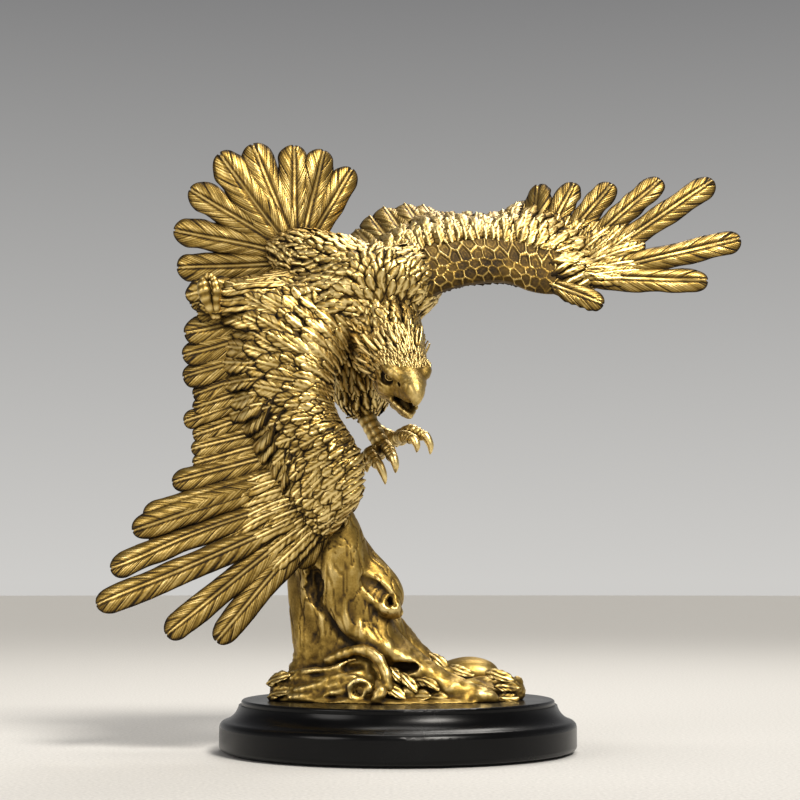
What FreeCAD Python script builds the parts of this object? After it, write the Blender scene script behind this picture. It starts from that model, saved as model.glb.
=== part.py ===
"""Eagle statuette: a swooping eagle cast in several pieces, pinned together over a tree stump on a round plinth.

Frame: millimetres, +Z up, +X to the bird's left wing tip, +Y away from the viewer.
The origin is the centre of the felt under the plinth, on the surface that the statuette stands on.
"""

import FreeCAD, Part

import math
import os

import Sketcher
from FreeCAD import Placement, Rotation, Vector

doc = FreeCAD.newDocument("eagle_statuette")


# ---------------------------------------------------------------- driving dimensions

DIMENSIONS = {
    "plinth_diameter": 115.0,
    "plinth_top_diameter": 101.0,
    "plinth_top": 16.8,          # height of the plinth's upper face above the table
    "plinth_wall_top": 8.2,      # where the upright wall turns in
    "plinth_edge_radius": 1.5,
    "cove_foot_height": 10.2,
    "cove_top_height": 15.1,
    "cove_radius": 6.5,
    "bead_width": 0.8,           # the small step between the cove and the upper face
    "felt_thickness": 0.8,
    "felt_diameter": 108.0,
    "screw_spacing": 30.0,
    "screw_middle": -8.0,        # X of the point midway between the two screws
    "screw_shank_diameter": 3.5,
    "screw_head_diameter": 7.0,
    "screw_head_height": 2.4,
    "screw_length": 20.0,
    "screw_slot_width": 1.0,
    "washer_thickness": 0.8,
    "washer_diameter": 8.4,
    "counterbore_diameter": 9.0,
    "counterbore_depth": 5.0,
    "clearance_hole_diameter": 4.2,
    "stump_footprint_x": 82.0,
    "stump_footprint_y": 56.0,
    "dowel_diameter": 4.0,
    "wing_pin_diameter": 2.5,
    "tail_pin_diameter": 2.0,
    "neck_pin_diameter": 3.0,
    "leg_pin_diameter": 1.6,
    "blade_thickness": 1.8,      # of a flight feather
    "secondary_width": 9.0,
    "primary_width": 9.5,
    "tail_feather_width": 10.0,
    "far_primary_width": 8.0,
    "toe_diameter": 3.6,
    "beak_squeeze": 0.8,         # the upper beak's depth over its width
}

sheet = doc.addObject("Spreadsheet::Sheet", "dims")
for row, (alias, value) in enumerate(DIMENSIONS.items(), start=1):
    sheet.set(f"A{row}", alias)
    sheet.set(f"B{row}", str(value))
    sheet.setAlias(f"B{row}", alias)
doc.recompute()


def dim(alias):
    """A driving dimension, read from the sheet."""
    return float(getattr(sheet, alias))


def value_of(expression):
    """What an expression in the sheet's cells comes to."""
    found = sheet.evalExpression(expression)
    return float(getattr(found, "Value", found))


# ---------------------------------------------------------------- sketches and primitives


def origin_plane(body, role):
    """One of a body's own origin planes, by its role."""
    return next(f for f in body.Origin.OriginFeatures if f.Role == role)


def new_sketch(body, name, role):
    """An empty sketch on one of a body's own origin planes."""
    sketch = body.newObject("Sketcher::SketchObject", name)
    sketch.AttachmentSupport = [(origin_plane(body, role), "")]
    sketch.MapMode = "FlatFace"
    return sketch


def pin_point(sketch, geometry, point, horizontal, vertical):
    """Holds a sketch point at two distances from the origin, each an expression in the sheet's cells."""
    for kind, axis, expression in (("DistanceX", -2, horizontal), ("DistanceY", -1, vertical)):
        if expression == "0":
            sketch.addConstraint(Sketcher.Constraint("PointOnObject", geometry, point, axis))
        else:
            value = value_of(expression)
            at = sketch.addConstraint(Sketcher.Constraint(kind, -1, 1, geometry, point, value))
            sketch.setExpression(f"Constraints[{at}]", expression)


def closed_profile(sketch, corners):
    """A closed outline of lines and arcs. A corner is (horizontal, vertical) for a line that ends there, or
    (horizontal, vertical, bulge) for an arc whose rise over half its chord is bulge, positive to the left."""
    at = [Vector(value_of(c[0]), value_of(c[1]), 0) for c in corners]
    first = sketch.GeometryCount
    ends = []
    for i, corner in enumerate(corners):
        start, end = at[i - 1], at[i]
        if len(corner) == 2:
            sketch.addGeometry(Part.LineSegment(start, end), False)
            ends.append(2)
            continue
        chord = end - start
        middle = (start + end) * 0.5 + Vector(-chord.y, chord.x, 0) * (corner[2] / 2)
        arc = Part.Arc(start, middle, end)
        sketch.addGeometry(arc, False)
        centre = sketch.Geometry[first + i].Center
        counterclockwise = (start - centre).cross(end - centre).z > 0
        ends.append(2 if counterclockwise else 1)
        sketch.addConstraint(Sketcher.Constraint("Radius", first + i, (start - centre).Length))
    for i, corner in enumerate(corners):
        following = (i + 1) % len(corners)
        joined = 3 - ends[following]
        sketch.addConstraint(Sketcher.Constraint("Coincident", first + i, ends[i], first + following, joined))
        pin_point(sketch, first + i, ends[i], corner[0], corner[1])


def circle_at(sketch, horizontal, diameter):
    """A circle centred on the sketch's horizontal axis."""
    at = Vector(value_of(horizontal), 0, 0)
    geometry = sketch.addGeometry(Part.Circle(at, Vector(0, 0, 1), value_of(diameter) / 2), False)
    sized = sketch.addConstraint(Sketcher.Constraint("Diameter", geometry, value_of(diameter)))
    sketch.setExpression(f"Constraints[{sized}]", diameter)
    pin_point(sketch, geometry, 3, horizontal, "0")


def along(start, end):
    """A placement whose origin is start and whose Z axis points at end."""
    return Placement(start, Rotation(Vector(0, 0, 1), end - start))


def pin(name, start, end, diameter):
    """A round pin from start to end. Its diameter is an expression in the sheet's cells."""
    made = doc.addObject("Part::Cylinder", name)
    made.setExpression("Radius", f"({diameter}) / 2")
    made.Height = (end - start).Length
    made.Placement = along(start, end)
    return made


def group(name, members):
    """Several separate solids in one node."""
    made = doc.addObject("Part::Compound", name)
    made.Links = members
    return made


# ---------------------------------------------------------------- shapes of the castings

RING_SIDES = 14
BLADE_ROOT_SHARE = 0.5       # a feather's width at its root, over its full width
BLADE_FULL_SHARE = 0.55      # how far along a feather it reaches its full width


def ring(centre, axis, major, half_major, half_minor):
    """A polygon inscribed in an ellipse that lies square to axis."""
    axis = Vector(axis).normalize()
    across = (major - axis * major.dot(axis)).normalize()
    up = axis.cross(across)
    points = []
    for i in range(RING_SIDES + 1):
        turn = 2 * math.pi * (i % RING_SIDES) / RING_SIDES
        points.append(centre + across * (half_major * math.cos(turn)) + up * (half_minor * math.sin(turn)))
    return Part.makePolygon(points)


def skin(rings):
    """The closed solid that passes through a row of rings."""
    return Part.makeLoft(rings, True, True)


def directions(points):
    """The way that a row of points runs, at each of them."""
    last = len(points) - 1
    return [points[min(i + 1, last)] - points[max(i - 1, 0)] for i in range(len(points))]


def limb(stations, flatten=1.0, major=Vector(1, 0, 0)):
    """A round or oval limb. A station is (x, y, z, radius); flatten squeezes it square to major."""
    points = [Vector(*s[:3]) for s in stations]
    ways = directions(points)
    return skin([ring(p, w, major, s[3], s[3] * flatten) for p, w, s in zip(points, ways, stations)])


def wing_flesh(stations):
    """The thick part of a wing. A station is (leading point, trailing point, thickness)."""
    leading = [Vector(*s[0]) for s in stations]
    trailing = [Vector(*s[1]) for s in stations]
    middles = [(a + b) * 0.5 for a, b in zip(leading, trailing)]
    rings = []
    for front, back, middle, way, station in zip(leading, trailing, middles, directions(middles), stations):
        chord = back - front
        axis = chord.cross(way).cross(chord)
        rings.append(ring(middle, axis, chord, chord.Length / 2, station[2] / 2))
    return skin(rings)


def blade(root, tip, face, width):
    """A flight feather as a flat tongue with a round end. face is the way that its broad side looks."""
    length = (tip - root).Length
    ahead = (tip - root).normalize()
    across = face.cross(ahead).normalize()
    outward = ahead.cross(across)
    half = width / 2
    base = root - outward * (dim("blade_thickness") / 2)

    def at(distance, offset):
        return base + ahead * distance + across * offset

    narrow = half * BLADE_ROOT_SHARE
    full = length * BLADE_FULL_SHARE
    edges = [
        Part.LineSegment(at(0, -narrow), at(0, narrow)),
        Part.LineSegment(at(0, narrow), at(full, half)),
        Part.LineSegment(at(full, half), at(length - half, half)),
        Part.Arc(at(length - half, half), at(length, 0), at(length - half, -half)),
        Part.LineSegment(at(length - half, -half), at(full, -half)),
        Part.LineSegment(at(full, -half), at(0, -narrow)),
    ]
    outline = Part.Wire([edge.toShape() for edge in edges])
    return Part.Face(outline).extrude(outward * dim("blade_thickness"))


def along_points(points, share):
    """The point at a share, from 0 to 1, of the way through a row of points."""
    place = share * (len(points) - 1)
    before = min(int(place), len(points) - 2)
    return points[before] + (points[before + 1] - points[before]) * (place - before)


def blades(roots, tips, face, width):
    """A row of feathers. Their roots are spaced along one row of points; the faces turn a little, one to the
    next, so that neighbours lap like tiles."""
    made = []
    for i, tip in enumerate(tips):
        root = along_points([Vector(*p) for p in roots], i / (len(tips) - 1))
        lap = 0.10 + 0.012 * (i % 5)
        tip = Vector(*tip)
        side = (tip - root).cross(face).normalize()
        made.append(blade(root, tip, face + side * lap, width))
    return made


def fused(first, others):
    """One solid out of several that overlap."""
    made = first.multiFuse(others)
    if len(made.Solids) != 1:
        raise RuntimeError(f"a casting came out as {len(made.Solids)} solids")
    return made


# ---------------------------------------------------------------- the bird, each casting before its pins

TOWARDS_VIEWER = Vector(0, -1, 0)

TORSO = [  # rump, back, shoulders, base of the neck, nape: x, y, z, radius
    (-37, 5, 164, 6.5),
    (-31, 4, 161, 9.5),
    (-22, 2, 155, 13.5),
    (-12, 0, 148, 17),
    (-5, -5, 140, 15),
    (-2.5, -12, 133, 11.5),
    (-1.5, -17, 128.5, 9),
]
BREAST = [(-16, 5, 150, 12), (-15, 6, 138, 14), (-12, 6, 126, 12.5), (-9, 5, 117, 9)]
RIGHT_THIGH = [(-14, 4, 124, 7), (-13, 0, 116, 6), (-11.6, -3, 109.5, 4)]
LEFT_THIGH = [(-7, 7, 124, 7), (-5, 6, 115, 5.5), (-4, 5, 107, 3.8)]

SKULL = [
    (-2, -15, 129.5, 8.5),
    (-1.5, -19, 127, 9.6),
    (-0.5, -23.5, 123.5, 10),
    (0.8, -28, 120, 9),
    (2, -31.5, 117.5, 6.8),
]
UPPER_BEAK = [(1.8, -31, 118, 5), (3.2, -35.5, 115.5, 4.4), (4.6, -39.5, 112.3, 3.2), (5, -41, 108.6, 1.2)]
LOWER_BEAK = [(1.4, -28, 114.5, 4), (3, -32.5, 110.5, 3.4), (4.4, -37, 106.2, 1.4)]

RIGHT_WING = [  # leading point, trailing point, thickness
    ((-7, -6, 135), (-34, 2, 157), 16),
    ((-15, -12, 129), (-42, -4, 151), 15),
    ((-20, -17, 120), (-51, -10, 144.5), 14),
    ((-20.5, -20, 110.5), (-51, -13, 130), 13),
    ((-17, -22, 102.5), (-49.5, -15, 117.5), 12.5),
    ((-12, -24, 94.5), (-47, -16, 107.5), 12.5),
    ((-11, -25, 87.5), (-41.5, -17, 96.5), 12),
    ((-12, -24, 80.5), (-36, -18, 84), 11),
    ((-17, -22, 74), (-31.5, -18, 77.5), 8.5),
    ((-21.5, -20, 69), (-28, -18, 71), 5),
]
RIGHT_SECONDARY_ROOTS = [(-40, -7, 144), (-38, -14, 122), (-34, -17, 104), (-28, -18, 88)]
RIGHT_SECONDARY_TIPS = [
    (-64, -14, 151.5),
    (-67, -13, 142),
    (-68.5, -13, 132.5),
    (-68.5, -13, 122.5),
    (-68, -13, 116),
    (-65.5, -13, 110.5),
    (-67, -12, 105.5),
    (-65, -12, 101),
    (-65.5, -12, 96),
    (-65, -12, 91.5),
    (-72.5, -12, 85),
]
RIGHT_PRIMARY_ROOTS = [(-30, -18, 86), (-27, -19, 80), (-25, -19, 75), (-22, -19, 73)]
RIGHT_PRIMARY_TIPS = [
    (-81.5, -12, 75),
    (-85, -12, 70.5),
    (-80, -9, 67),
    (-92, -11, 58.5),
    (-96.5, -13, 47),
    (-73.5, -14, 37.5),
    (-57.5, -16, 35.5),
    (-32, -17, 59),
]

LEFT_WING = [
    ((3, -12, 138), (-15, 10, 163), 15),
    ((8, -12, 144.5), (-5, 15, 169), 15),
    ((15.5, -12, 148.5), (5, 18, 174), 14),
    ((23, -12, 150.5), (14, 18, 175.5), 13),
    ((30, -12, 151.5), (24, 17, 175.5), 13),
    ((36, -12, 151), (34, 14, 175.5), 12.5),
    ((42.5, -12, 148), (44, 11, 177), 12),
    ((49, -11, 147), (53.5, 8, 174), 11),
    ((57, -8, 148), (61.5, 5, 168), 8.5),
    ((65, -6, 150.5), (68, 2, 161), 5.5),
]
LEFT_SECONDARY_ROOTS = [(-10, 8, 161), (0, 12, 166), (12, 13, 170), (26, 12, 171), (38, 9, 172), (46, 7, 172)]
LEFT_SECONDARY_TIPS = [
    (-18.5, 25, 169),
    (-15, 31, 176.5),
    (-10, 34, 182),
    (-5, 36, 185.5),
    (2, 37, 187),
    (8.5, 37, 186.5),
    (15, 36, 184),
    (22, 33, 181.5),
    (29, 29, 180),
    (35, 25, 182),
    (40, 20, 183.5),
    (46.5, 14, 186),
]
LEFT_PRIMARY_ROOTS = [(50, 4, 168), (58, 1, 162), (60, -3, 156), (58, -6, 153)]
LEFT_PRIMARY_TIPS = [
    (60.5, 9, 186),
    (72, 6, 187.5),
    (88, 4, 188.5),
    (105, 1, 187.5),
    (113.5, -3, 167),
    (101.5, -6, 152.5),
]
ALULA = ((52, -11, 149), (66.5, -13, 143.5))

TAIL_ROOT = [(-31, 4, 161, 7.5), (-36, 5, 164.5, 7), (-41, 6, 168, 4)]
TAIL_FEATHER_ROOTS = [(-37, 4, 159), (-38.5, 4, 163), (-36.5, 4, 166), (-32, 5, 166)]
TAIL_FEATHER_TIPS = [
    (-69.5, 11, 148.5),
    (-74, 9, 158),
    (-75, 7, 169),
    (-71, 5, 181.5),
    (-61, 4, 195),
    (-47, 4, 200),
    (-35, 5, 200),
    (-25, 8, 198),
    (-14, 12, 190),
]

RIGHT_ANKLE = (-4, -9, 97)
LEFT_ANKLE = (-1, 2, 101)
RIGHT_TOES = [  # base of the toe, its knuckle, where the claw starts, the claw's point
    [(-3, -14, 96.5), (-1.5, -17, 93.5), (-0.8, -18, 90)],
    [(-6, -14, 94), (-6, -17.5, 90), (-4.5, -18, 86)],
    [(-8.5, -11, 93.5), (-11, -13, 90.5), (-11.5, -13, 86.5)],
    [(-5, -5, 93), (-7, -3.5, 90), (-6.5, -5.5, 86.5)],
]
LEFT_TOES = [
    [(4, -2, 103), (8.5, -4, 101.5), (10.5, -5, 96)],
    [(3.5, -3.5, 101), (6, -7, 100), (6.5, -8.5, 96)],
    [(2.5, 3, 100), (5, 4, 98), (5.5, 4.5, 94)],
    [(-2, 6.5, 98.5), (-3, 9, 96), (-3.5, 9, 92)],
]


def torso():
    body = limb(TORSO, flatten=0.86)
    return fused(body, [limb(BREAST), limb(RIGHT_THIGH), limb(LEFT_THIGH)])


def head():
    upper_beak = limb(UPPER_BEAK, flatten=dim("beak_squeeze"))
    lower_beak = limb(LOWER_BEAK, flatten=0.6)
    return fused(limb(SKULL), [upper_beak, lower_beak])


def right_wing():
    made = blades(RIGHT_SECONDARY_ROOTS, RIGHT_SECONDARY_TIPS, TOWARDS_VIEWER, dim("secondary_width"))
    made += blades(RIGHT_PRIMARY_ROOTS, RIGHT_PRIMARY_TIPS, TOWARDS_VIEWER, dim("primary_width"))
    return fused(wing_flesh(RIGHT_WING), made)


def left_wing():
    inner_face = Vector(0, -0.55, 0.85)
    made = blades(LEFT_SECONDARY_ROOTS, LEFT_SECONDARY_TIPS, inner_face, dim("secondary_width"))
    outer_face = Vector(0, -1, 0.2)
    made += blades(LEFT_PRIMARY_ROOTS, LEFT_PRIMARY_TIPS, outer_face, dim("far_primary_width"))
    made.append(blade(Vector(*ALULA[0]), Vector(*ALULA[1]), outer_face, dim("far_primary_width")))
    return fused(wing_flesh(LEFT_WING), made)


def tail():
    made = blades(TAIL_FEATHER_ROOTS, TAIL_FEATHER_TIPS, TOWARDS_VIEWER, dim("tail_feather_width"))
    return fused(limb(TAIL_ROOT, flatten=0.6), made)


def leg(knee, ankle, toes):
    """The bare shank and the foot, from inside the feathered thigh down to the claws."""
    thick = dim("toe_diameter") / 2
    shank = limb([(*knee, thick * 1.25), (*ankle, thick * 1.15)])
    made = []
    for knuckle, claw, point in toes:
        made.append(limb([(*ankle, thick * 1.1), (*knuckle, thick), (*claw, thick * 0.8), (*point, thick * 0.25)]))
    return fused(shank, made)


# ---------------------------------------------------------------- the stump

TRUNK = [  # x, y, z, half width, half depth
    (-9, 0, 17.5, 27, 20),
    (-9, 0, 25, 25, 19),
    (-10.5, 0, 32, 21, 17.5),
    (-14.5, -1, 42, 19, 16),
    (-19, -3, 55, 15.5, 13),
    (-22.5, -7, 66, 10.5, 10),
    (-24, -10, 74, 9, 8),
    (-25, -12, 80, 6.5, 6),
]
ROOTS = [  # x, y, z, radius along each root, from the trunk outward
    [(-4, -4, 34, 8), (12, -9, 26, 6.5), (26, -9, 21.5, 5), (38, -5, 20, 3.2)],
    [(-2, -8, 28, 7), (8, -18, 23, 5), (20, -22, 20.5, 3.6)],
    [(-12, -10, 30, 6), (-8, -20, 24, 4.5), (-6, -25, 20.5, 3.4)],
    [(-24, -4, 28, 6), (-34, -8, 22, 5), (-38.5, -10, 20.5, 3.6)],
    [(-20, 8, 30, 7), (-30, 16, 23, 5), (-35, 20, 20.5, 3.4)],
    [(-4, 8, 30, 7), (6, 20, 23, 5), (9, 25, 20.5, 3.4)],
]
BROKEN_BRANCH = [(-14, -2, 60, 7), (-6, -3, 54, 6), (0.5, -4, 49.5, 4.6)]
STONE = [(12, 12, 21, 6), (20, 13, 23, 7.5), (28, 13, 21, 5.5)]
SKIRT_HEIGHT = 3.0


def stump():
    rings = []
    for x, y, z, half_width, half_depth in TRUNK:
        rings.append(ring(Vector(x, y, z), Vector(0, 0, 1), Vector(1, 0, 0), half_width, half_depth))
    foot = []
    for height, share in ((0, 1.0), (SKIRT_HEIGHT, 0.9)):
        centre = Vector(-0.5, 0, dim("plinth_top") + height)
        halves = (dim("stump_footprint_x") / 2 * share, dim("stump_footprint_y") / 2 * share)
        foot.append(ring(centre, Vector(0, 0, 1), Vector(1, 0, 0), *halves))
    limbs = [limb(r) for r in ROOTS] + [limb(BROKEN_BRANCH), limb(STONE)]
    whole = fused(skin(foot), [skin(rings)] + limbs)
    above = Part.makeBox(300, 300, 300, Vector(-150, -150, dim("plinth_top")))
    return whole.common(above)


# ---------------------------------------------------------------- plinth, felt and fasteners


def plinth():
    """A turned disc with a bead and a cove, and two counterbored holes underneath."""
    body = doc.addObject("PartDesign::Body", "plinth")
    outer = "dims.plinth_diameter / 2"
    upper = "dims.plinth_top_diameter / 2"
    profile = new_sketch(body, "plinth_profile", "XZ_Plane")
    closed_profile(profile, [
        ("0", "dims.felt_thickness"),
        (f"{outer} - dims.plinth_edge_radius", "dims.felt_thickness"),
        (outer, "dims.felt_thickness + dims.plinth_edge_radius", -0.41),
        (outer, "dims.plinth_wall_top"),
        (f"{outer} - dims.plinth_edge_radius", "dims.cove_foot_height", -0.3),
        (f"{upper} + dims.bead_width", "dims.cove_top_height", 0.28),
        (upper, "dims.cove_top_height"),
        (upper, "dims.plinth_top - dims.bead_width"),
        (f"{upper} - dims.bead_width", "dims.plinth_top", -0.41),
        ("0", "dims.plinth_top"),
    ])
    disc = body.newObject("PartDesign::Revolution", "turned_disc")
    disc.Profile = profile
    disc.ReferenceAxis = (profile, ["V_Axis"])
    disc.Angle = 360
    doc.recompute()
    for name, diameter, depth in (
        ("counterbores", "dims.counterbore_diameter", "dims.felt_thickness + dims.counterbore_depth"),
        ("screw_holes", "dims.clearance_hole_diameter", "dims.plinth_top + 1"),
    ):
        circles = new_sketch(body, f"{name}_sketch", "XY_Plane")
        for sign in ("-", "+"):
            circle_at(circles, f"dims.screw_middle {sign} dims.screw_spacing / 2", diameter)
        before = body.Shape.Volume
        pocket = body.newObject("PartDesign::Pocket", name)
        pocket.Profile = circles
        pocket.Reversed = True
        pocket.setExpression("Length", depth)
        doc.recompute()
        if body.Shape.Volume > before - 1:
            raise RuntimeError(f"{name} cut nothing")
    return body


def base_felt():
    body = doc.addObject("PartDesign::Body", "base_felt")
    outline = new_sketch(body, "felt_outline", "XY_Plane")
    circle_at(outline, "0", "dims.felt_diameter")
    pad = body.newObject("PartDesign::Pad", "felt_disc")
    pad.Profile = outline
    pad.setExpression("Length", "dims.felt_thickness")
    return body


def screw(number, middle):
    """A slotted pan-head screw that comes up through the plinth. middle is its X, as an expression."""
    seat = "dims.felt_thickness + dims.counterbore_depth - dims.washer_thickness"
    shank = doc.addObject("Part::Cylinder", f"screw_shank_{number}")
    shank.setExpression("Radius", "dims.screw_shank_diameter / 2")
    shank.setExpression("Height", "dims.screw_length")
    shank.setExpression("Placement.Base.z", seat)
    point = doc.addObject("Part::Cone", f"screw_point_{number}")
    point.setExpression("Radius1", "dims.screw_shank_diameter / 2")
    point.Radius2 = 0.2
    point.setExpression("Height", "dims.screw_shank_diameter")
    point.setExpression("Placement.Base.z", f"{seat} + dims.screw_length")
    head_blank = doc.addObject("Part::Cylinder", f"screw_head_{number}")
    head_blank.setExpression("Radius", "dims.screw_head_diameter / 2")
    head_blank.setExpression("Height", "dims.screw_head_height")
    head_blank.setExpression("Placement.Base.z", f"{seat} - dims.screw_head_height")
    whole = doc.addObject("Part::MultiFuse", f"screw_blank_{number}")
    whole.Shapes = [shank, point, head_blank]
    slot = doc.addObject("Part::Box", f"screw_slot_{number}")
    slot.setExpression("Length", "dims.screw_head_diameter + 1")
    slot.setExpression("Width", "dims.screw_slot_width")
    slot.setExpression("Height", "dims.screw_head_height / 2")
    slot.setExpression("Placement.Base.y", "-dims.screw_slot_width / 2")
    slot.setExpression("Placement.Base.z", f"{seat} - dims.screw_head_height")
    for piece in (shank, point, head_blank):
        piece.setExpression("Placement.Base.x", middle)
    slot.setExpression("Placement.Base.x", f"{middle} - (dims.screw_head_diameter + 1) / 2")
    made = doc.addObject("Part::Cut", f"screw_{number}")
    made.Base, made.Tool = whole, slot
    return made


def washer(number, middle):
    base = "dims.felt_thickness + dims.counterbore_depth - dims.washer_thickness"
    rounds = []
    for name, diameter in (("rim", "dims.washer_diameter"), ("hole", "dims.clearance_hole_diameter")):
        disc = doc.addObject("Part::Cylinder", f"washer_{name}_{number}")
        disc.setExpression("Radius", f"{diameter} / 2")
        disc.setExpression("Height", "dims.washer_thickness")
        disc.setExpression("Placement.Base.z", base)
        disc.setExpression("Placement.Base.x", middle)
        rounds.append(disc)
    made = doc.addObject("Part::Cut", f"washer_{number}")
    made.Base, made.Tool = rounds
    return made


# ---------------------------------------------------------------- the pins inside


def pins():
    """Every pin, by the node that it belongs to."""
    wing, tail_pin = "dims.wing_pin_diameter", "dims.tail_pin_diameter"
    return {
        "right_wing_pins": [
            pin("right_wing_pin_1", Vector(-16, -2, 148), Vector(-38, -9, 140), wing),
            pin("right_wing_pin_2", Vector(-10, -4, 139), Vector(-27, -14, 127), wing),
        ],
        "left_wing_pins": [
            pin("left_wing_pin_1", Vector(-12, 0, 150), Vector(9, 3, 160), wing),
            pin("left_wing_pin_2", Vector(-6, -3, 143), Vector(15, -2, 155), wing),
        ],
        "tail_pins": [
            pin("tail_pin_1", Vector(-26, 3.5, 160.5), Vector(-38.5, 4.5, 166.5), tail_pin),
            pin("tail_pin_2", Vector(-28, 4, 157), Vector(-39, 4.5, 162), tail_pin),
        ],
        "neck_pin": [pin("neck_pin", Vector(-3.5, -8, 137.5), Vector(-0.5, -23, 124), "dims.neck_pin_diameter")],
        "leg_pins": [
            pin("right_leg_pin", Vector(-12.5, -1.5, 114.5), Vector(-8.5, -5.5, 105), "dims.leg_pin_diameter"),
            pin("left_leg_pin", Vector(-4.8, 6, 112.5), Vector(-2.9, 4, 105), "dims.leg_pin_diameter"),
        ],
        "stump_dowel": [pin("stump_dowel", Vector(-22, -4, 58), Vector(-25, -19.5, 87), "dims.dowel_diameter")],
    }


def casting(name, shape):
    """A casting before its holes are drilled."""
    made = doc.addObject("Part::Feature", f"{name}_casting")
    made.Shape = shape
    return made


def drilled(name, blank, tools):
    """A casting with the holes that its pins or screws fill."""
    if len(tools) == 1:
        drill = tools[0]
    else:
        drill = doc.addObject("Part::MultiFuse", f"{name}_drills")
        drill.Shapes = tools
    made = doc.addObject("Part::Cut", name)
    made.Base, made.Tool = blank, drill
    return made


# ---------------------------------------------------------------- assembly


def build():
    """Makes every node and returns them by name."""
    held = pins()
    torso_shape = torso()
    right_wing_shape = right_wing().cut(torso_shape)
    left_wing_shape = left_wing().cut(torso_shape)
    screw_at = ["dims.screw_middle - dims.screw_spacing / 2", "dims.screw_middle + dims.screw_spacing / 2"]
    screws = [screw(i + 1, middle) for i, middle in enumerate(screw_at)]
    washers = [washer(i + 1, middle) for i, middle in enumerate(screw_at)]
    leg_pin = {"right": held["leg_pins"][0], "left": held["leg_pins"][1]}
    right_leg = leg((-12, -2.2, 112), RIGHT_ANKLE, RIGHT_TOES).cut(torso_shape)
    left_leg = leg((-4.2, 5.2, 110), LEFT_ANKLE, LEFT_TOES).cut(torso_shape)
    joined = held["right_wing_pins"] + held["left_wing_pins"] + held["tail_pins"] + held["neck_pin"]
    nodes = {
        "plinth": plinth(),
        "base_felt": base_felt(),
        "stump": drilled("stump", casting("stump", stump().cut(right_wing_shape)), screws + held["stump_dowel"]),
        "body": drilled("body", casting("body", torso_shape), joined + held["leg_pins"]),
        "head": drilled("head", casting("head", head().cut(torso_shape)), held["neck_pin"]),
        "right_wing": drilled(
            "right_wing", casting("right_wing", right_wing_shape), held["right_wing_pins"] + held["stump_dowel"]
        ),
        "left_wing": drilled("left_wing", casting("left_wing", left_wing_shape), held["left_wing_pins"]),
        "tail": drilled("tail", casting("tail", tail().cut(torso_shape)), held["tail_pins"]),
        "right_leg": drilled("right_leg", casting("right_leg", right_leg), [leg_pin["right"]]),
        "left_leg": drilled("left_leg", casting("left_leg", left_leg), [leg_pin["left"]]),
        "base_screws": group("base_screws", screws),
        "screw_washers": group("screw_washers", washers),
    }
    for name, members in held.items():
        nodes[name] = members[0] if len(members) == 1 else group(name, members)
    return nodes


def export(nodes):
    """Checks every object and every node's solids, and writes one STEP file a node."""
    for item in doc.Objects:
        if {"Invalid", "Error"} & set(item.State):
            raise RuntimeError(f"{item.Name} failed: {item.State}")
    os.makedirs("parts", exist_ok=True)
    for name, item in nodes.items():
        item.Label = name
        shape = item.Shape
        if shape.isNull() or not shape.isValid() or not shape.Solids:
            raise RuntimeError(f"{name} has no valid solid")
        shape.exportStep(os.path.join("parts", f"{name}.step"))
        print(f"{name}: {len(shape.Solids)} solid(s), {shape.Volume / 1000:.2f} cm3")


nodes = build()
doc.recompute()
export(nodes)
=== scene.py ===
"""Looks of the eagle statuette: every feather, claw, root and stone, sculpted over the CAD model's frame.

Shapes are drawn in millimetres in the model's own frame, then fitted to the frame's box by placed(). The
bird's right wing is the low one at -X, and its left wing is the high one at +X. The viewer is at -Y.
"""

import itertools
import math

import bpy
import numpy as np
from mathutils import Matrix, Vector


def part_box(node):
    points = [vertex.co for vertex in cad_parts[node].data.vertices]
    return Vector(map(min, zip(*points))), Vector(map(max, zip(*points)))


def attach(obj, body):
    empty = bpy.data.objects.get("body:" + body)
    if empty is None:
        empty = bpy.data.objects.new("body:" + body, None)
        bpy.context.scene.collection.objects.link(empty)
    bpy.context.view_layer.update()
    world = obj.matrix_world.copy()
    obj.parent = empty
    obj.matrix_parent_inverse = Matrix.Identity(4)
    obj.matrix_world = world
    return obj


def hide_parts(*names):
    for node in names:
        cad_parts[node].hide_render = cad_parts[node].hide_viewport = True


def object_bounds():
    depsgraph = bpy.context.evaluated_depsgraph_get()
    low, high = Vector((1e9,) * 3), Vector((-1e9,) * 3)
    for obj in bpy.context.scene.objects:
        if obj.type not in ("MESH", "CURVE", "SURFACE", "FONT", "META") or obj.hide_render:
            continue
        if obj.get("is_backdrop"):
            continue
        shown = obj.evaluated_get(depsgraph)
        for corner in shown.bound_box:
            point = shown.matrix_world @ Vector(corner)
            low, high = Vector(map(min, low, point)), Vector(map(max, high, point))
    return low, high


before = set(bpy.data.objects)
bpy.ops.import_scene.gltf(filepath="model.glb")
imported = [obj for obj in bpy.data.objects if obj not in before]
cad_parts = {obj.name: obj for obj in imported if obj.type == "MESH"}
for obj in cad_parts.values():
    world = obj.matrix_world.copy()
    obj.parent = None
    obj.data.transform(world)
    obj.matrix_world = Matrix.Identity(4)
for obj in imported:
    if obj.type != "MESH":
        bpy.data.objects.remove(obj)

import openvdb
from mathutils import Vector

CAD_LOW, CAD_HIGH = (np.array(corner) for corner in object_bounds())
DRAWN_LOW = np.array((-96.95, -57.5, 0.0))  # the same box in the millimetres that the shapes are drawn in
DRAWN_HIGH = np.array((113.61, 57.5, 200.23))
UNIT = (CAD_HIGH - CAD_LOW) / (DRAWN_HIGH - DRAWN_LOW)
TO_VIEWER = np.array((0.0, -1.0, 0.0))
UP = np.array((0.0, 0.0, 1.0))
LEANING = np.array((0.31, 0.17, 0.93))  # a way that no limb runs along


def placed(points):
    """Drawn millimetres to the frame's metres."""
    return CAD_LOW + (np.asarray(points, float) - DRAWN_LOW) * UNIT


# ---------------------------------------------------------------- arithmetic on rows of points


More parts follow.
